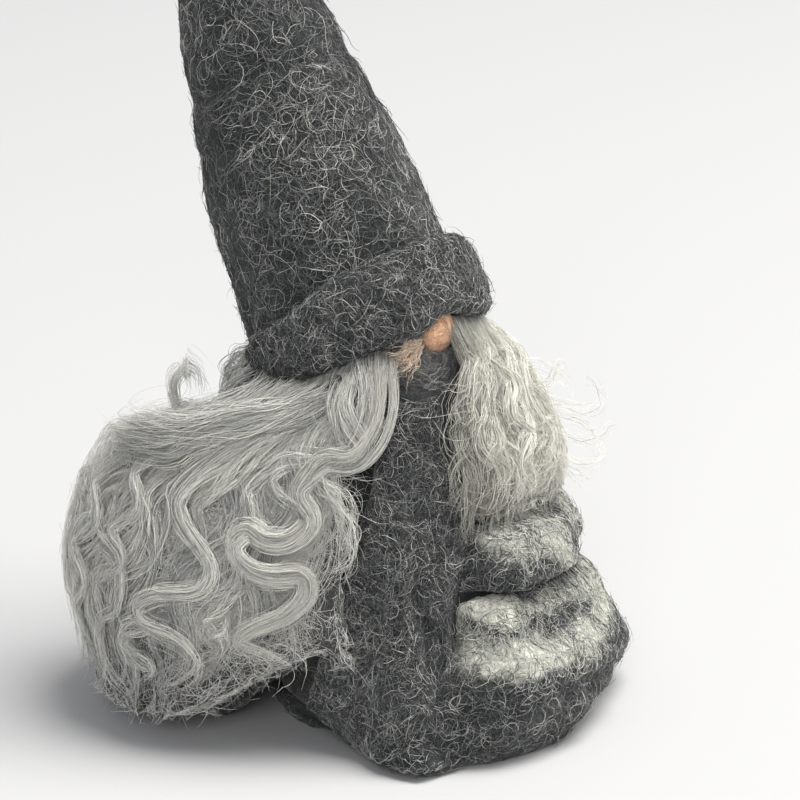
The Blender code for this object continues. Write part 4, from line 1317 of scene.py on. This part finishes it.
def face():
    """Nose, the skin-coloured wool beside it and the hollow below it, its hairs darkened as painted shade."""
    pink_felt = felt_material("nose_felt", (0.66, 0.37, 0.22), (0.91, 0.64, 0.46))
    nose = skinned("nose_felt", "nose", "figure", pink_felt, 0.5 * MM, 2, 51, 0.25 * MM, 5 * MM,
                   -0.5 * MM, moved=(0, -0.8 * MM, -1.0 * MM))
    rng = np.random.default_rng(701)
    count, rings = int(600 * FULLNESS), 8
    points, normals = scattered(nose, count, rng)
    paths, ups = crawl(nose, points, normals, rng, rng.uniform(2 * MM, 6 * MM, count), rings, 0.4)
    paths += ups * arched(rings, rng, count, 0.2 * MM, 0.05)[:, :, None]
    strand_pieces("nose_fibres", paths, taper(rings, count, rng, 0.06 * MM),
                  rng.uniform(0.2, 0.8, (count, 1)), peach, riding("figure"))
    skin_felt = felt_material("pale_skin_felt", (0.42, 0.31, 0.23), (0.80, 0.66, 0.54))
    skinned("face_patch_wool", "face_patch", "figure", skin_felt, 0.8 * MM, 2, 52, 0.2 * MM,
            4 * MM, 0.3 * MM)
    head = Drape("head_ball")

    def hollow(angle):
        return np.full_like(angle, 91 * MM), np.full_like(angle, 107 * MM)

    wool = dict(drape=head, body="figure", rng=rng)
    # Dark tints on the hollow's hairs: painted shade in the hollow under the nose.
    fuzz("face_hollow_hairs", slot="melange_felt", material=silver, count=850, angles=(-58, 26),
         heights=hollow, tint=(0.0, 0.4), length=(8 * MM, 20 * MM), curl=0.4, thick=0.085 * MM,
         lift=0.8 * MM, stand=2.8 * MM, **wool)
    moustache = (
        ((-40, 109, 1), (-28, 103, 3.5), (-15, 99.5, 5), (-4, 100, 5), (5, 104, 3.5)),
        ((-26, 107, 1), (-18, 101.5, 4), (-9, 97.5, 6), (-2, 96, 7), (3, 99, 6)),
        ((10, 108, 1), (4, 102, 4), (-6, 98, 6), (-18, 96.5, 7), (-26, 99, 5)),
    )
    for number, points in enumerate(moustache, 1):
        # Dark grey moustache locks: partly the hair's own grey, partly painted shade under the nose.
        placed_lock(f"under_nose_lock_{number}", points=points, count=100, width=3.4 * MM, depth=1.2 * MM,
                    tint=0.06 + 0.09 * number, rings=22, thick=0.09 * MM, material=silver,
                    slot="melange_felt", swell=(1.0, 1.0, 0.9), stray=0.5, ripple=0.4 * MM, **wool)
    skin = [(-15, 110, 3), (-24, 109, 6), (-32, 107.5, 8), (-40, 105.5, 9)]
    placed_lock("pale_skin_wisp", points=skin, count=150, width=2.4 * MM, depth=0.9 * MM, tint=0.9, rings=20,
                thick=0.09 * MM, material=peach, slot="pale_skin_wool", swell=(0.5, 0.9, 1.5),
                ends=(0.5, 1.0), stray=0.4, ripple=0.4 * MM, **wool)
    lip = [(-24, 96, 7.5), (-20, 95, 8.5), (-15, 94.6, 8.5)]
    placed_lock("lip_wisp", points=lip, count=40, width=0.9 * MM, depth=0.6 * MM, tint=0.95, rings=14,
                thick=0.1 * MM, material=beige, slot="pale_skin_wool", swell=(0.7, 1.0, 0.5), **wool)


# --- Inside pieces ---------------------------------------------------------------------------------

def inside_pieces():
    """Carded wool with loose fibres all over it, and the stone."""
    for name, node, body, material, slot, seed, shrink in (
            # The body core's wool is near black: painted shade inside the robe's lifted hem.
            ("body_core_wool", "body_core", "figure", felt_painted_shade, "natural_wool", 61, 0.5 * MM),
            ("head_wool", "head_ball", "figure", felt_natural, "natural_wool", 62, 0.3 * MM),
            ("hat_stuffing_wool", "hat_stuffing", "hat_stuffing", felt_natural, "natural_wool", 63,
             0.5 * MM),
            ("sole_felt", "base_pad", "figure", felt_charcoal, "charcoal_felt", 64, 0.3 * MM)):
        skin = skinned(name, node, body, material, 1.6 * MM, 4, seed, 0.9 * MM, 10 * MM, shrink)
        fibres = natural if material == felt_natural else fibre_grey
        felt_fibres(f"{name}_fibres", skin, 700, riding(body), seed, material=fibres, curl=0.7,
                    length=(8 * MM, 18 * MM))
    skinned("weight_stone", "ballast_stone", "figure", stone_material(), 1.0 * MM, 6, 65, 0.4 * MM,
            9 * MM, 0.4 * MM)


# --- Studio ----------------------------------------------------------------------------------------

SKY = (0.93, 0.95, 1.0)
SKY_STRENGTH = 0.42
FLOOR_GREY = 0.50
FLOOR_HALF_WIDTH = 6
WARM = (1.0, 0.985, 0.96)
COOL = (0.98, 0.98, 1.0)
LAMPS = (                           # name, place, width, watts, colour
    ("key", (0.7, -0.7, 3.2), 2.4, 160.0, WARM),
    ("side", (1.9, -2.0, 1.5), 2.4, 44.0, WARM),
    ("fill", (-2.4, -1.6, 1.5), 1.4, 34.0, COOL),
)
LAMP_AIM = Vector((0, 0, 0.1))
CAMERA_ANGLE = -50                  # degrees round the body from the front, towards its right
CAMERA_RISE = 18                    # degrees over the horizon
CAMERA_DISTANCE = 1.15
CAMERA_TARGET = Vector((0, 0, 0.0886))
SEEN_WIDTH = 0.224                  # at the target
SENSOR = 36


def floor():
    grid = bmesh.new()
    bmesh.ops.create_grid(grid, x_segments=1, y_segments=1, size=FLOOR_HALF_WIDTH)
    data = bpy.data.meshes.new("floor")
    grid.to_mesh(data)
    grid.free()
    material, _, shader = material_with("floor_white", 0.6)
    shader.inputs["Base Color"].default_value = (FLOOR_GREY, FLOOR_GREY, FLOOR_GREY, 1)
    data.materials.append(material)
    link(bpy.data.objects.new("floor", data))


def lights():
    world = bpy.data.worlds.new("Studio")
    bpy.context.scene.world = world
    world.use_nodes = True
    background = world.node_tree.nodes["Background"]
    background.inputs["Color"].default_value = (*SKY, 1)
    background.inputs["Strength"].default_value = SKY_STRENGTH
    for name, place, width, power, colour in LAMPS:
        lamp = bpy.data.lights.new(name, "AREA")
        lamp.shape = "DISK"
        lamp.size = width
        lamp.energy = power
        lamp.color = colour
        piece = link(bpy.data.objects.new(name, lamp))
        piece.location = place
        piece.rotation_euler = (LAMP_AIM - Vector(place)).to_track_quat("-Z", "Y").to_euler()


def camera():
    azimuth, elevation = math.radians(CAMERA_ANGLE), math.radians(CAMERA_RISE)
    back = Vector((math.sin(azimuth) * math.cos(elevation), -math.cos(azimuth) * math.cos(elevation),
                   math.sin(elevation)))
    piece = link(bpy.data.objects.new("camera", bpy.data.cameras.new("camera")))
    piece.location = CAMERA_TARGET + back * CAMERA_DISTANCE
    piece.rotation_euler = (-back).to_track_quat("-Z", "Y").to_euler()
    piece.data.sensor_width = SENSOR
    piece.data.lens = SENSOR * CAMERA_DISTANCE / SEEN_WIDTH
    piece.data.clip_start = 0.01
    bpy.context.scene.camera = piece
    bpy.context.scene.view_settings.view_transform = "Standard"


hat()
robe()
right_side = right_fleece()
right_locks(right_side)
shoulder_locks(right_side)
upright_curl()
replace_locks()
beard_left()
hair_left()
face()
inside_pieces()
floor()
lights()
camera()
